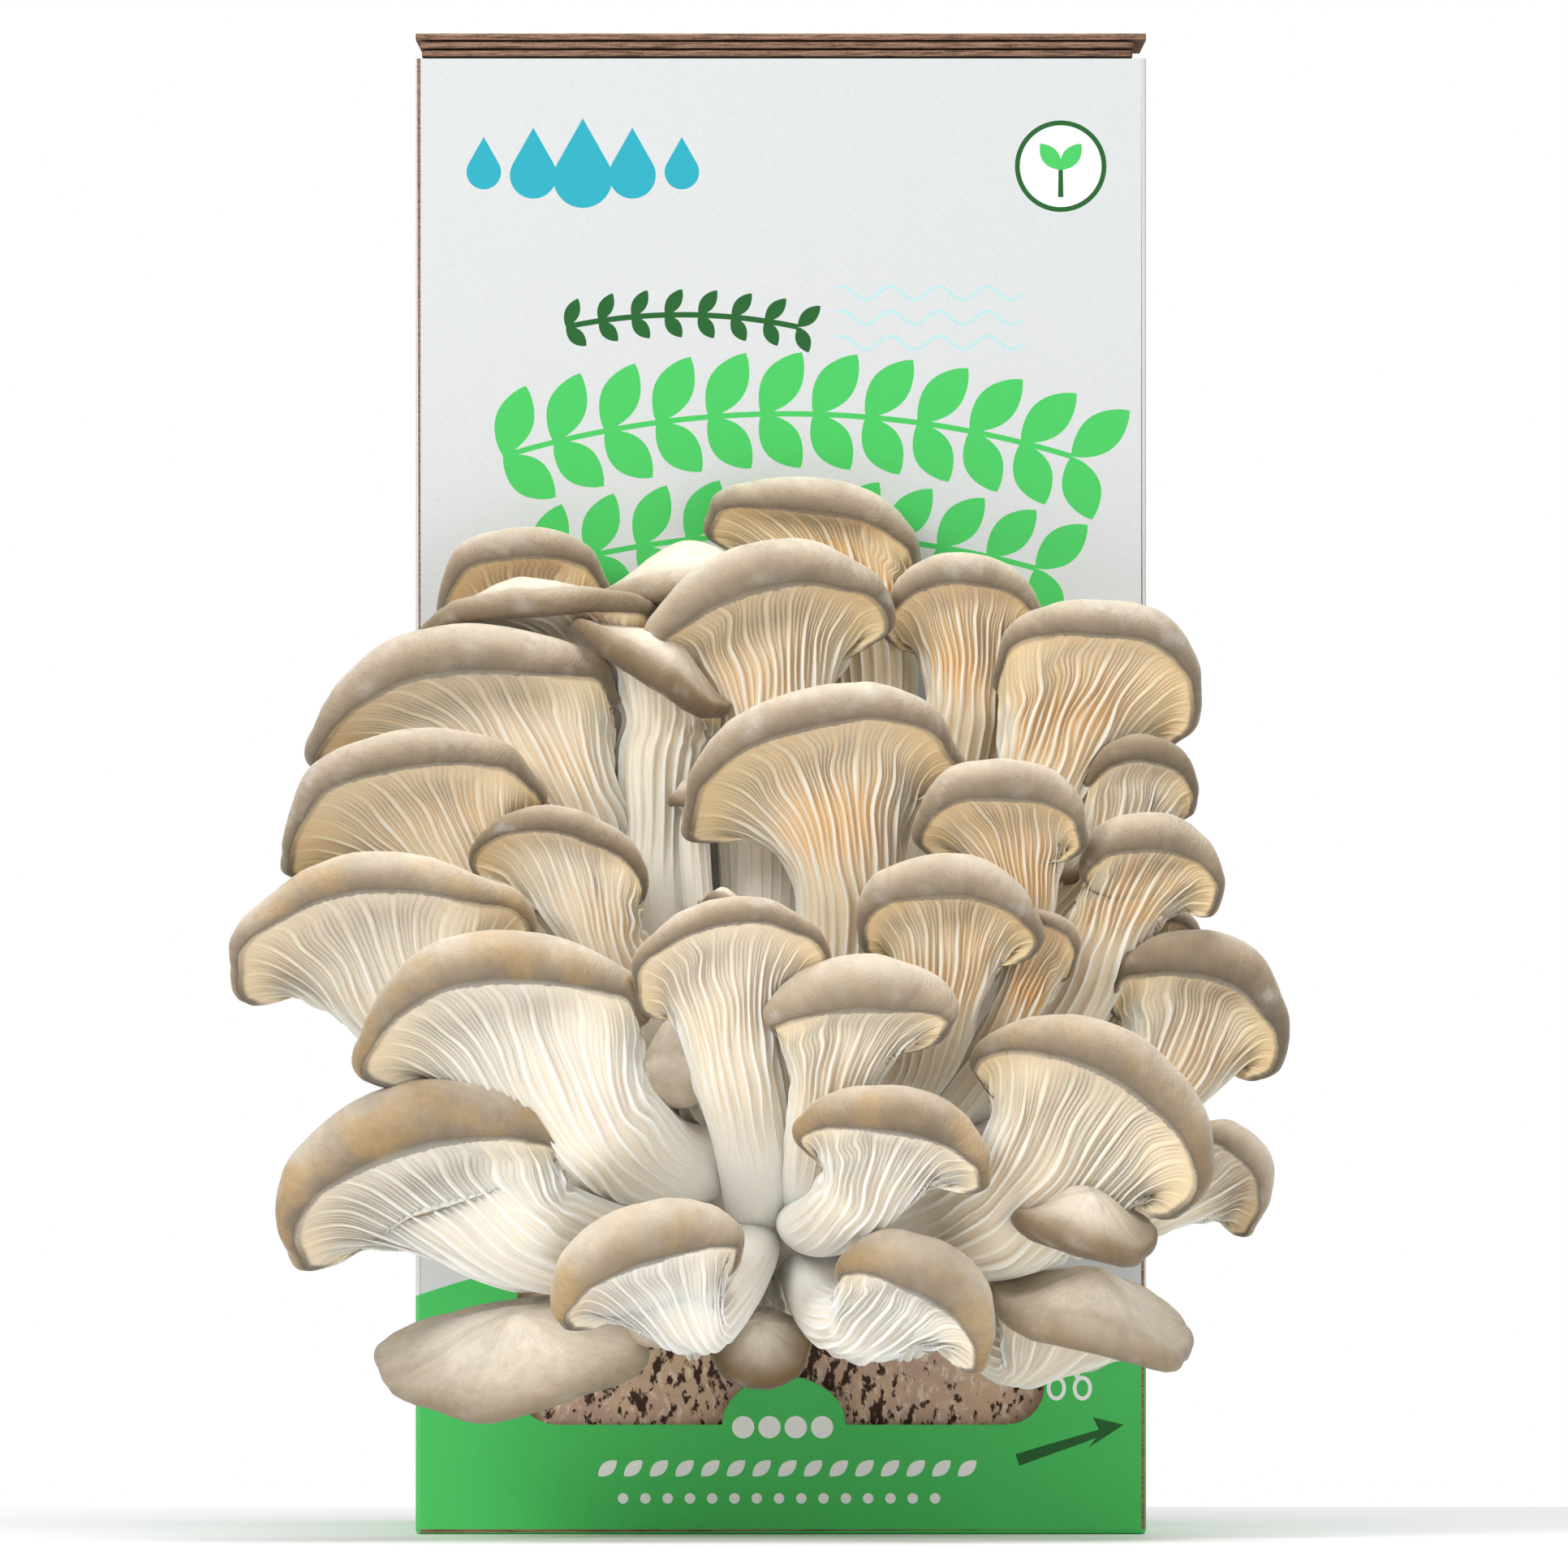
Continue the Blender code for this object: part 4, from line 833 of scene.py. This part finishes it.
def cap_material():
    """The cap's skin: short fibres running in from the rim, silvery where the light grazes them."""
    material, tree, shader = new_material(
        "cap_skin", 0.40, IOR=1.45, Subsurface_Weight=0.10, Subsurface_Scale=0.0015,
        Subsurface_Radius=(1.0, 0.6, 0.35), Sheen_Weight=0.22, Sheen_Roughness=0.35)
    tint = add_node(tree, "Attribute", attribute_name="tint", attribute_type="GEOMETRY").outputs["Color"]
    skin = add_node(tree, "Attribute", attribute_name="skin_place", attribute_type="GEOMETRY").outputs["Vector"]
    place = place_millimetres(tree)
    fibres = noise(tree, stretched(tree, skin, 1.9, 0.5, 1.0), 1.0, 5.0, 0.7)
    mottle = noise(tree, place, 0.45, 5.0, 0.65)
    shade = arithmetic(tree, "ADD", arithmetic(tree, "MULTIPLY", fibres, 0.50), 0.75)
    patches = arithmetic(tree, "MULTIPLY", arithmetic(tree, "SUBTRACT", mottle, 0.5), 0.40)
    shade = arithmetic(tree, "ADD", shade, patches)
    grey = add_node(tree, "CombineXYZ", {0: shade, 1: shade, 2: shade}).outputs[0]
    tree.links.new(blend_colours(tree, 1.0, tint, grey, "MULTIPLY"), shader.inputs["Base Color"])
    gloss = arithmetic(tree, "ADD", arithmetic(tree, "MULTIPLY", mottle, 0.35), 0.20)
    tree.links.new(gloss, shader.inputs["Roughness"])
    pores = noise(tree, place, 2.6, 3.0, 0.7)
    height = arithmetic(tree, "ADD", arithmetic(tree, "MULTIPLY", fibres, 0.6), arithmetic(tree, "MULTIPLY", pores, 0.4))
    bump = add_node(tree, "Bump", {"Strength": 0.8, "Distance": 0.6 * MM, "Height": height})
    tree.links.new(bump.outputs[0], shader.inputs["Normal"])
    return material


FLESH = flesh_material()
CAP = cap_material()


def paint(obj, colours, skin_places):
    """Give every point its colour and its place on the skin."""
    tint = obj.data.attributes.new("tint", "FLOAT_COLOR", "POINT")
    tint.data.foreach_set("color", np.concatenate([colours, np.ones((len(colours), 1))], 1).astype(np.float32).ravel())
    skin = obj.data.attributes.new("skin_place", "FLOAT_VECTOR", "POINT")
    skin.data.foreach_set("vector", np.concatenate([skin_places, np.zeros((len(skin_places), 1))], 1)
                          .astype(np.float32).ravel())


def mushroom(node, **sizes):
    """Make one mushroom's skin in place of its solid."""
    points, triangles, colours, skin_places, flesh_count = mushroom_skin(**sizes)
    obj = add_mesh(node + "_grown", points, triangles)
    obj.data.materials.append(FLESH)
    obj.data.materials.append(CAP)
    kinds = np.zeros(len(triangles), np.int32)
    kinds[flesh_count:] = 1
    obj.data.polygons.foreach_set("material_index", kinds)
    paint(obj, colours, skin_places)
    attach(obj, "root")
    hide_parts(node)
    return obj


# The base of the cluster: the lumpy knot of flesh that swells out of the window and carries all the stems.
KNOT_LOW, KNOT_HIGH = (np.array(corner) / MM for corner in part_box("cluster_base"))
KNOT_CENTRE = (-0.5, 5.2, 60.3)
KNOT_HALF = (22.3, 27.5, 24.9)


def knot():
    """A ball whose points are moved in and out by slow waves of their direction and finer lumps, and pressed
    flat where it meets the block."""
    columns, rows = 160, 80
    around = np.arange(columns) * TURN / columns
    up = np.linspace(-math.pi / 2.0, math.pi / 2.0, rows + 2)[1:-1, None]
    swell = 0.98 + 0.035 * np.sin(3.0 * around) * np.cos(2.0 * up) + 0.03 * np.cos(4.0 * around + 1.0) * np.sin(3.0 * up)
    ring = np.stack(np.broadcast_arrays(np.cos(up) * np.cos(around), np.cos(up) * np.sin(around), np.sin(up)), -1)
    body = place(*KNOT_CENTRE) + ring * swell[..., None] * np.array(KNOT_HALF)
    body = body + outer(0.5 * waves(body, 8, 12.0, 77), 1.0) * ring
    half_z = np.array([0.0, 0.0, KNOT_HALF[2] * 0.98])
    poles = place(*KNOT_CENTRE) + np.array([-half_z, half_z])
    points = np.concatenate([body.reshape(-1, 3), poles])
    points[:, 1] = np.minimum(points[:, 1], KNOT_HIGH[1])
    last = (rows - 1) * columns + np.arange(columns)
    triangles = np.concatenate([bands(rows, columns), fan(np.arange(columns), len(points) - 2),
                                fan(last, len(points) - 1)[:, ::-1]])
    shade = 0.80 + 0.1 * waves(points, 5, 9.0, 78)
    colours = outer(shade, np.array((0.86, 0.76, 0.62)))
    obj = add_mesh("knot", points, triangles)
    obj.data.materials.append(FLESH)
    paint(obj, colours, np.stack([points[:, 0], points[:, 2] * 3.0], -1))
    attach(obj, "root")
    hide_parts("cluster_base")


knot()

# The mushrooms from the back of the cluster to the front. A place is (x, out, z) in millimetres.
mushroom("mushroom_top_left", at=(-41, 9, 149), half=(14, 13), front=10.5, back=4.5, tilt=54, roll=6,
         lip=8.5, neck=(-34.5, 6.5, 133.5), neck_r=5, mid=(-26, 3.5, 106), root=(-11, 4.5, 74.5),
         root_r=3, seed=1449, gills=30, warm=1.0, tone=0.55)
mushroom("mushroom_flat_upper_left", at=(-42, 18.5, 148), half=(17.5, 21.5), front=8, back=8, tilt=2,
         roll=3, lip=6, neck=(-26.5, 14.5, 133.5), neck_r=5, mid=(-19.5, 10.5, 106),
         root=(-9.5, 10.5, 72), root_r=3.5, seed=1456, crown=1.1, droop=(4, 1), gills=30, warm=0.5,
         tone=0.7)
mushroom("mushroom_top_behind", at=(-14.5, 10.5, 151.5), half=(14.5, 14), front=8, back=8, tilt=-6,
         roll=8, lip=7, neck=(-9, 6.5, 139), neck_r=5, mid=(-8, 4.5, 114), root=(-5, 4.5, 76),
         root_r=3.5, seed=1470, crown=1.3, gills=26, warm=0.4, tone=0.5)
mushroom("mushroom_top_centre", at=(5, 8, 159.5), half=(16.5, 16.5), front=6.8, back=5, tilt=54, roll=-9,
         lip=10, neck=(14, 6.5, 143), neck_r=7, mid=(17, 6, 116.5), root=(5, 8, 77.5), root_r=5,
         seed=1442, droop=(0, 1.5), gills=36, warm=1.0, tone=0.5)
mushroom("mushroom_top_right", at=(29, 14.5, 146), half=(12.5, 12.5), front=8.5, back=5, tilt=54, roll=0,
         lip=8.5, neck=(30, 12, 132), neck_r=6.5, mid=(26.5, 6.5, 110), root=(9, 6, 74.5), root_r=4.5,
         seed=1498, gills=34, warm=0.9, tone=0.4)
mushroom("mushroom_upper_right", at=(51, 19.5, 135), half=(16, 15.5), front=12.8, back=(5, 11), tilt=54,
         roll=-8, lip=10, neck=(41, 18.5, 118.5), neck_r=7.5, mid=(33, 17, 101), root=(15, 12.5, 72),
         root_r=5.5, seed=1442, droop=(0, 0.5), gills=38, warm=0.9, tone=0.45)
mushroom("mushroom_big_left", at=(-49.5, 26, 131), half=(25, 22.5), front=10.4, back=(9, 3.5), tilt=54,
         roll=9, lip=14, neck=(-34, 20.5, 115.5), neck_r=9, mid=(-26.5, 12.5, 97), root=(-13.5, 9, 71),
         root_r=5.5, seed=1477, droop=(3.5, 0), dip=(60, 25, -3), gills=44, warm=0.5, tone=0.5)
mushroom("mushroom_upper_centre", at=(-1.5, 21.5, 143), half=(19.5, 18.5), front=11.2, back=6.5, tilt=54,
         roll=12, lip=13.5, neck=(-2, 18.5, 126), neck_r=8.5, mid=(-3, 16.5, 103.5), root=(-3.5, 13, 72),
         root_r=5, seed=1463, droop=(3.5, 0), gills=42, warm=0.7, tone=0.45)
mushroom("mushroom_twisted_grey", at=(-21, 23.5, 138.5), half=(15, 12.5), front=8, back=8, tilt=-12,
         roll=-32, lip=6.5, neck=(-19.5, 19.5, 126), neck_r=7, mid=(-22, 21.5, 106),
         root=(-14.5, 14.5, 74.5), root_r=5.5, seed=1484, crown=1.1, gills=34, warm=0.3, tone=1)
mushroom("button_upper", at=(-14.6, 27.6, 118), half=(3.2, 3.2), front=2.6, back=2.6, tilt=0, roll=8,
         lip=3.4, neck=(-13.8, 26.8, 115.2), neck_r=1.8, mid=(-14.4, 25, 101), root=(-8.8, 19.6, 74.8),
         root_r=3.2, seed=1512, crown=1.2, gills=16, warm=0.2, tone=0.8)
mushroom("mushroom_small_curled", at=(47, 17, 106), half=(6.5, 6.5), front=5, back=5, tilt=-10, roll=0,
         lip=5, neck=(45.5, 12, 97), neck_r=2.5, mid=(36, 6.5, 78.5), root=(17, 5, 65.5), root_r=2,
         seed=1512, crown=1.2, gills=20, warm=0.4, tone=0.5)
mushroom("mushroom_right_edge_upper", at=(58, 21, 118.5), half=(9, 8.5), front=7.1, back=5, tilt=54,
         roll=-3, lip=7.5, neck=(50, 19.5, 105), neck_r=5.5, mid=(36.5, 15.5, 90.5),
         root=(18, 10.5, 69.5), root_r=3.5, seed=1498, gills=28, warm=0.5, tone=0.7)
mushroom("mushroom_small_right", at=(60.5, 23.5, 95.5), half=(6.5, 6.5), front=5, back=4, tilt=54,
         roll=-12, lip=4.5, neck=(57.5, 21, 86.5), neck_r=4, mid=(45.5, 13, 73.5), root=(19.5, 6, 60.5),
         root_r=3, seed=1456, gills=24, warm=0.5, tone=0.7)
mushroom("mushroom_left_middle", at=(-59, 34, 114.5), half=(21, 20.5), front=11.2, back=(8.5, 4),
         tilt=54, roll=10, lip=10.5, neck=(-45, 25, 101.5), neck_r=8, mid=(-30, 16.5, 84),
         root=(-14.5, 8, 71), root_r=5, seed=1449, droop=(3.5, 0), gills=44, warm=0.6, tone=0.5)
mushroom("mushroom_left_hollow", at=(-36, 34.5, 105), half=(13.5, 13.5), front=10.1, back=6, tilt=54,
         roll=-12, lip=7.5, neck=(-27, 32, 94), neck_r=6, mid=(-20, 25, 81.5), root=(-10, 15, 71.5),
         root_r=4.5, seed=1470, droop=(0, 2), gills=36, warm=0.5, tone=0.65)
mushroom("mushroom_large_centre", at=(7.5, 33, 119.5), half=(22.5, 22), front=13.2, back=(7, 5), tilt=54,
         roll=10, lip=11, neck=(11, 28, 102.5), neck_r=8, mid=(11.5, 25, 84), root=(6.5, 15.5, 61.5),
         root_r=7.5, seed=1491, droop=(2.5, 0), gills=46, warm=0.8, tone=0.45)
mushroom("mushroom_right_of_centre", at=(35.5, 38, 113), half=(13, 12.5), front=6.9, back=6, tilt=54,
         roll=0, lip=11.5, neck=(38, 31.5, 99.5), neck_r=5, mid=(32, 22.5, 86.5), root=(15.5, 12, 72),
         root_r=4.5, seed=1456, droop=(0.5, 1.5), gills=34, warm=0.9, tone=0.45)
mushroom("mushroom_right_edge_middle", at=(59.5, 34, 105.5), half=(10.5, 10.5), front=5.9, back=(3, 8),
         tilt=54, roll=2, lip=11, neck=(51, 29, 93.5), neck_r=6, mid=(47, 26, 77.5), root=(16, 15.5, 64),
         root_r=5, seed=1505, droop=(0, 3.5), gills=30, warm=0.8, tone=0.5)
mushroom("mushroom_far_left", at=(-65, 44, 95), half=(23, 24), front=11.2, back=(9, 4), tilt=54, roll=4,
         lip=11, neck=(-52.5, 36, 80.5), neck_r=9.5, mid=(-35.5, 23.5, 70), root=(-16, 12, 61),
         root_r=5.5, seed=1463, droop=(8, 0), dip=(60, 25, -2), gills=44, warm=0.25, tone=0.4, ochre=0.8)
mushroom("mushroom_pale_behind", at=(-17.5, 33, 71), half=(7, 6.5), front=5, back=5, tilt=-15, roll=0,
         lip=10, neck=(-14.5, 29, 69), neck_r=3, mid=(-12, 23.5, 65.5), root=(-7.5, 17, 62.5), root_r=3,
         seed=1470, crown=1.3, gills=20, warm=0.1, tone=-1.4)
mushroom("button_centre", at=(-9.4, 43.2, 101.6), half=(3.6, 3.6), front=2.8, back=2.6, tilt=0, roll=0,
         lip=2.6, neck=(-10, 42.6, 99), neck_r=1.6, mid=(-12.4, 39.4, 90.4), root=(-6.2, 21, 72.2),
         root_r=1.8, seed=1519, crown=1.2, gills=16, warm=0.2, tone=0.9)
mushroom("mushroom_centre_right", at=(27, 44.5, 96.5), half=(14, 13.5), front=7.8, back=6, tilt=54,
         roll=0, lip=12, neck=(24.5, 39.5, 82.5), neck_r=6, mid=(20.5, 33, 71), root=(13, 19.5, 64),
         root_r=5, seed=1484, droop=(0.5, 2), gills=36, warm=0.9, tone=0.4)
mushroom("mushroom_small_hooked", at=(41.5, 39.5, 93.5), half=(7, 5.5), front=6.5, back=4, tilt=50,
         roll=-28, lip=4, neck=(36.5, 36, 82.5), neck_r=3.5, mid=(28.5, 30, 68), root=(15.5, 17, 60.5),
         root_r=4, seed=1491, gills=24, warm=1.0, tone=0.6)
mushroom("mushroom_far_right", at=(66.5, 30, 82.5), half=(14, 13.5), front=9.2, back=(4, 10), tilt=54,
         roll=-14, lip=13, neck=(57, 27.5, 69.5), neck_r=6.5, mid=(43.5, 23.5, 61.5),
         root=(16, 14.5, 59), root_r=5, seed=1463, droop=(0, 4), gills=36, warm=0.6, tone=0.65)
mushroom("mushroom_right_edge_lower", at=(69.5, 33, 56.5), half=(8.5, 8.5), front=7.5, back=5, tilt=54,
         roll=-35, lip=8, neck=(59.5, 30, 54), neck_r=5, mid=(44.5, 21, 52), root=(13.5, 10.5, 52.5),
         root_r=4.5, seed=1477, droop=(0, 3.5), gills=26, warm=0.3, tone=0.3)
mushroom("mushroom_centre_front", at=(-8, 52.5, 90), half=(15.5, 15), front=10.6, back=6.5, tilt=54,
         roll=6, lip=7.5, neck=(-6.5, 48.5, 74.5), neck_r=7, mid=(-4, 46, 64), root=(-3, 25, 52.5),
         root_r=6, seed=1463, droop=(3.5, 0), gills=42, warm=0.4, tone=0.5, ochre=0.3)
mushroom("mushroom_centre_low", at=(13.5, 57.5, 82.5), half=(14, 13), front=3, back=6, tilt=50, roll=3,
         lip=15.5, neck=(7, 51, 68), neck_r=5.5, mid=(5, 46, 59), root=(5, 26, 52.5), root_r=5,
         seed=1470, droop=(0, 1.5), gills=32, warm=0.4, tone=0.4, ochre=0.2)
mushroom("mushroom_left_front", at=(-44.5, 52.5, 81), half=(22, 22), front=10.5, back=(9, 3), tilt=54,
         roll=6, lip=14.5, neck=(-30, 46, 66), neck_r=11.5, mid=(-21, 35.5, 57.5), root=(-9.5, 18.5, 61),
         root_r=7.5, seed=1477, droop=(5, 0), dip=(55, 25, -2), gills=46, warm=0.15, tone=0.45,
         ochre=0.8)
mushroom("mushroom_big_right", at=(49, 52.5, 65.5), half=(20, 19.5), front=11.3, back=(3.5, 9), tilt=54,
         roll=-28, lip=14, neck=(36, 46, 52.5), neck_r=10.5, mid=(24.5, 36.5, 47), root=(9, 19.5, 52.5),
         root_r=7.5, seed=1470, droop=(0, 6), gills=46, warm=0.4, tone=0.5, ochre=0.4)
mushroom("mushroom_front_right", at=(18, 63, 62.5), half=(14.5, 14.5), front=3.7, back=6, tilt=50,
         roll=-8, lip=13, neck=(11.5, 55, 54), neck_r=6.5, mid=(5.5, 47, 48.5), root=(5, 26, 51),
         root_r=6, seed=1477, droop=(0, 4), gills=34, warm=0.2, tone=0.6, ochre=0.8)
mushroom("mushroom_right_flat_upper", at=(48, 51, 49.5), half=(11, 11), front=6.5, back=8, tilt=-34,
         roll=-16, lip=7, neck=(40.5, 42, 47), neck_r=4, mid=(29, 27, 44), root=(11, 9, 47), root_r=3.5,
         seed=1484, crown=1.2, blunt=0.75, gills=26, warm=0.2, tone=1)
mushroom("mushroom_lower_left", at=(-58, 52.5, 55), half=(21.5, 22.5), front=8.7, back=(9, 3), tilt=54,
         roll=16, lip=18.5, neck=(-39, 43, 49.5), neck_r=10.5, mid=(-24, 33, 45.5), root=(-11, 14.5, 53),
         root_r=8, seed=1484, droop=(6, 0), gills=44, warm=0.1, tone=0.45, ochre=1.0)
mushroom("mushroom_low_front_left", at=(-21, 61.5, 42.5), half=(15, 14.5), front=3, back=7, tilt=42,
         roll=16, lip=15.5, neck=(-13, 55.5, 35), neck_r=6, mid=(-5, 43.5, 43.5),
         root=(-5.5, 19.5, 48.5), root_r=5.5, seed=1505, droop=(4.5, 0), gills=34, warm=0.05, tone=0.4,
         ochre=1.0)
mushroom("mushroom_low_front_right", at=(21.5, 60.5, 37.5), half=(12.5, 12.5), front=3, back=6.5,
         tilt=42, roll=-24, lip=15, neck=(12, 55, 34), neck_r=6, mid=(6, 43.5, 34.5),
         root=(5, 19.5, 43.5), root_r=5.5, seed=1456, droop=(0, 6), gills=32, warm=0.05, tone=0.4,
         ochre=0.9)
mushroom("mushroom_bottom_left_flat", at=(-42, 35, 29), half=(21.5, 21.5), front=9, back=9, tilt=-45,
         roll=8, lip=9.5, neck=(-30, 28, 33), neck_r=5, mid=(-18, 20, 36), root=(-9.5, 10.5, 42),
         root_r=5, seed=1491, crown=1.15, blunt=0.68, gills=32, warm=0.3, tone=0.35, ochre=0.3,
         dip=(98, 12, -3))
mushroom("mushroom_bottom_pale", at=(-16.5, 38, 33.5), half=(7, 7), front=6.5, back=5, tilt=-20, roll=8,
         lip=8, neck=(-15, 36, 31), neck_r=2.5, mid=(-10, 31.5, 39.5), root=(-6, 19.5, 46), root_r=3,
         seed=1498, crown=1.2, gills=20, warm=0.1, tone=-0.6)
mushroom("mushroom_teardrop", at=(-3.5, 39.5, 31.5), half=(8, 8), front=8.5, back=6, tilt=-50, roll=0,
         lip=4.5, neck=(-3.5, 31.5, 35.5), neck_r=4, mid=(-3.5, 26, 38), root=(-3.5, 14.5, 42),
         root_r=3.5, seed=1449, crown=1.2, gills=20, warm=0.1, tone=1.3)
mushroom("mushroom_grey_behind", at=(23.5, 43.5, 33), half=(6.5, 6.5), front=5, back=5, tilt=-25,
         roll=-12, lip=5, neck=(20.5, 41.5, 31), neck_r=2.5, mid=(13, 34, 39.5), root=(6.5, 19.5, 43.5),
         root_r=3, seed=1505, crown=1.2, gills=20, warm=0.1, tone=0.7)
mushroom("mushroom_bottom_right_flat", at=(49.5, 39, 35.5), half=(15.5, 16.5), front=8.5, back=8,
         tilt=-34, roll=-10, lip=8, neck=(38.5, 35.5, 29), neck_r=5.5, mid=(24.5, 22.5, 35.5),
         root=(7.5, 12, 45), root_r=5, seed=1491, droop=(0, 4.5), crown=1.2, blunt=0.7, gills=32,
         warm=0.3, tone=0.5, ochre=0.3)


# The setting: a white table and soft light from large panels, as for a product picture taken straight on.
PICTURE_WIDTH = 253.3
PICTURE_CENTRE = (0.5, 121.2)
LENS = 800.0
SENSOR = 36.0


def area_light(name, place_m, target_m, size, power):
    """A square soft light turned to face a point."""
    light = bpy.data.lights.new(name, "AREA")
    light.shape = "SQUARE"
    light.size = size
    light.energy = power
    obj = bpy.data.objects.new(name, light)
    obj.location = place_m
    obj.rotation_euler = (Vector(target_m) - Vector(place_m)).to_track_quat("-Z", "Y").to_euler()
    bpy.context.scene.collection.objects.link(obj)


def table_top():
    """A white table top under the carton, which ends a little way behind it."""
    half, back = 900.0, 160.0
    points = np.array([(-half, -half, 0.0), (half, -half, 0.0), (half, back, 0.0), (-half, back, 0.0)])
    table = add_mesh("table_top", points, np.array([(0, 1, 2), (0, 2, 3)]), smooth=False)
    material, tree, shader = new_material("white_table", 0.4)
    speckle = noise(tree, place_millimetres(tree), 0.02, 2.0)
    tone = arithmetic(tree, "ADD", arithmetic(tree, "MULTIPLY", speckle, 0.02), 0.86)
    grey = add_node(tree, "CombineXYZ", {0: tone, 1: tone, 2: tone}).outputs[0]
    tree.links.new(grey, shader.inputs["Base Color"])
    table.data.materials.append(material)


def camera():
    """A long lens straight in front, level with the picture's middle."""
    data = bpy.data.cameras.new("camera")
    data.lens = LENS
    data.sensor_width = SENSOR
    distance = LENS / SENSOR * PICTURE_WIDTH * MM
    data.clip_end = 100.0
    obj = bpy.data.objects.new("camera", data)
    obj.location = (PICTURE_CENTRE[0] * MM, FACE * MM - distance, PICTURE_CENTRE[1] * MM)
    obj.rotation_euler = (math.pi / 2.0, 0.0, 0.0)
    bpy.context.scene.collection.objects.link(obj)
    bpy.context.scene.camera = obj


table_top()
camera()
area_light("key", (-0.9, -1.1, 0.95), (0.0, -0.08, 0.10), 0.7, 16.0)
area_light("fill", (1.1, -1.2, 0.35), (0.0, -0.08, 0.10), 0.9, 4.0)
area_light("top", (0.1, -0.1, 1.2), (0.0, -0.05, 0.10), 0.7, 13.0)


def studio_world(seen, cast):
    """A white surround: the camera sees it at one strength and the light it casts has another."""
    world = bpy.data.worlds.new("studio")
    world.use_nodes = True
    tree = world.node_tree
    to_camera = add_node(tree, "LightPath").outputs["Is Camera Ray"]
    strength = arithmetic(tree, "ADD", arithmetic(tree, "MULTIPLY", to_camera, seen - cast), cast)
    background = tree.nodes["Background"]
    background.inputs["Color"].default_value = (1.0, 1.0, 1.0, 1.0)
    tree.links.new(strength, background.inputs["Strength"])
    bpy.context.scene.world = world


studio_world(1.0, 0.38)
bpy.context.scene.view_settings.view_transform = "Standard"
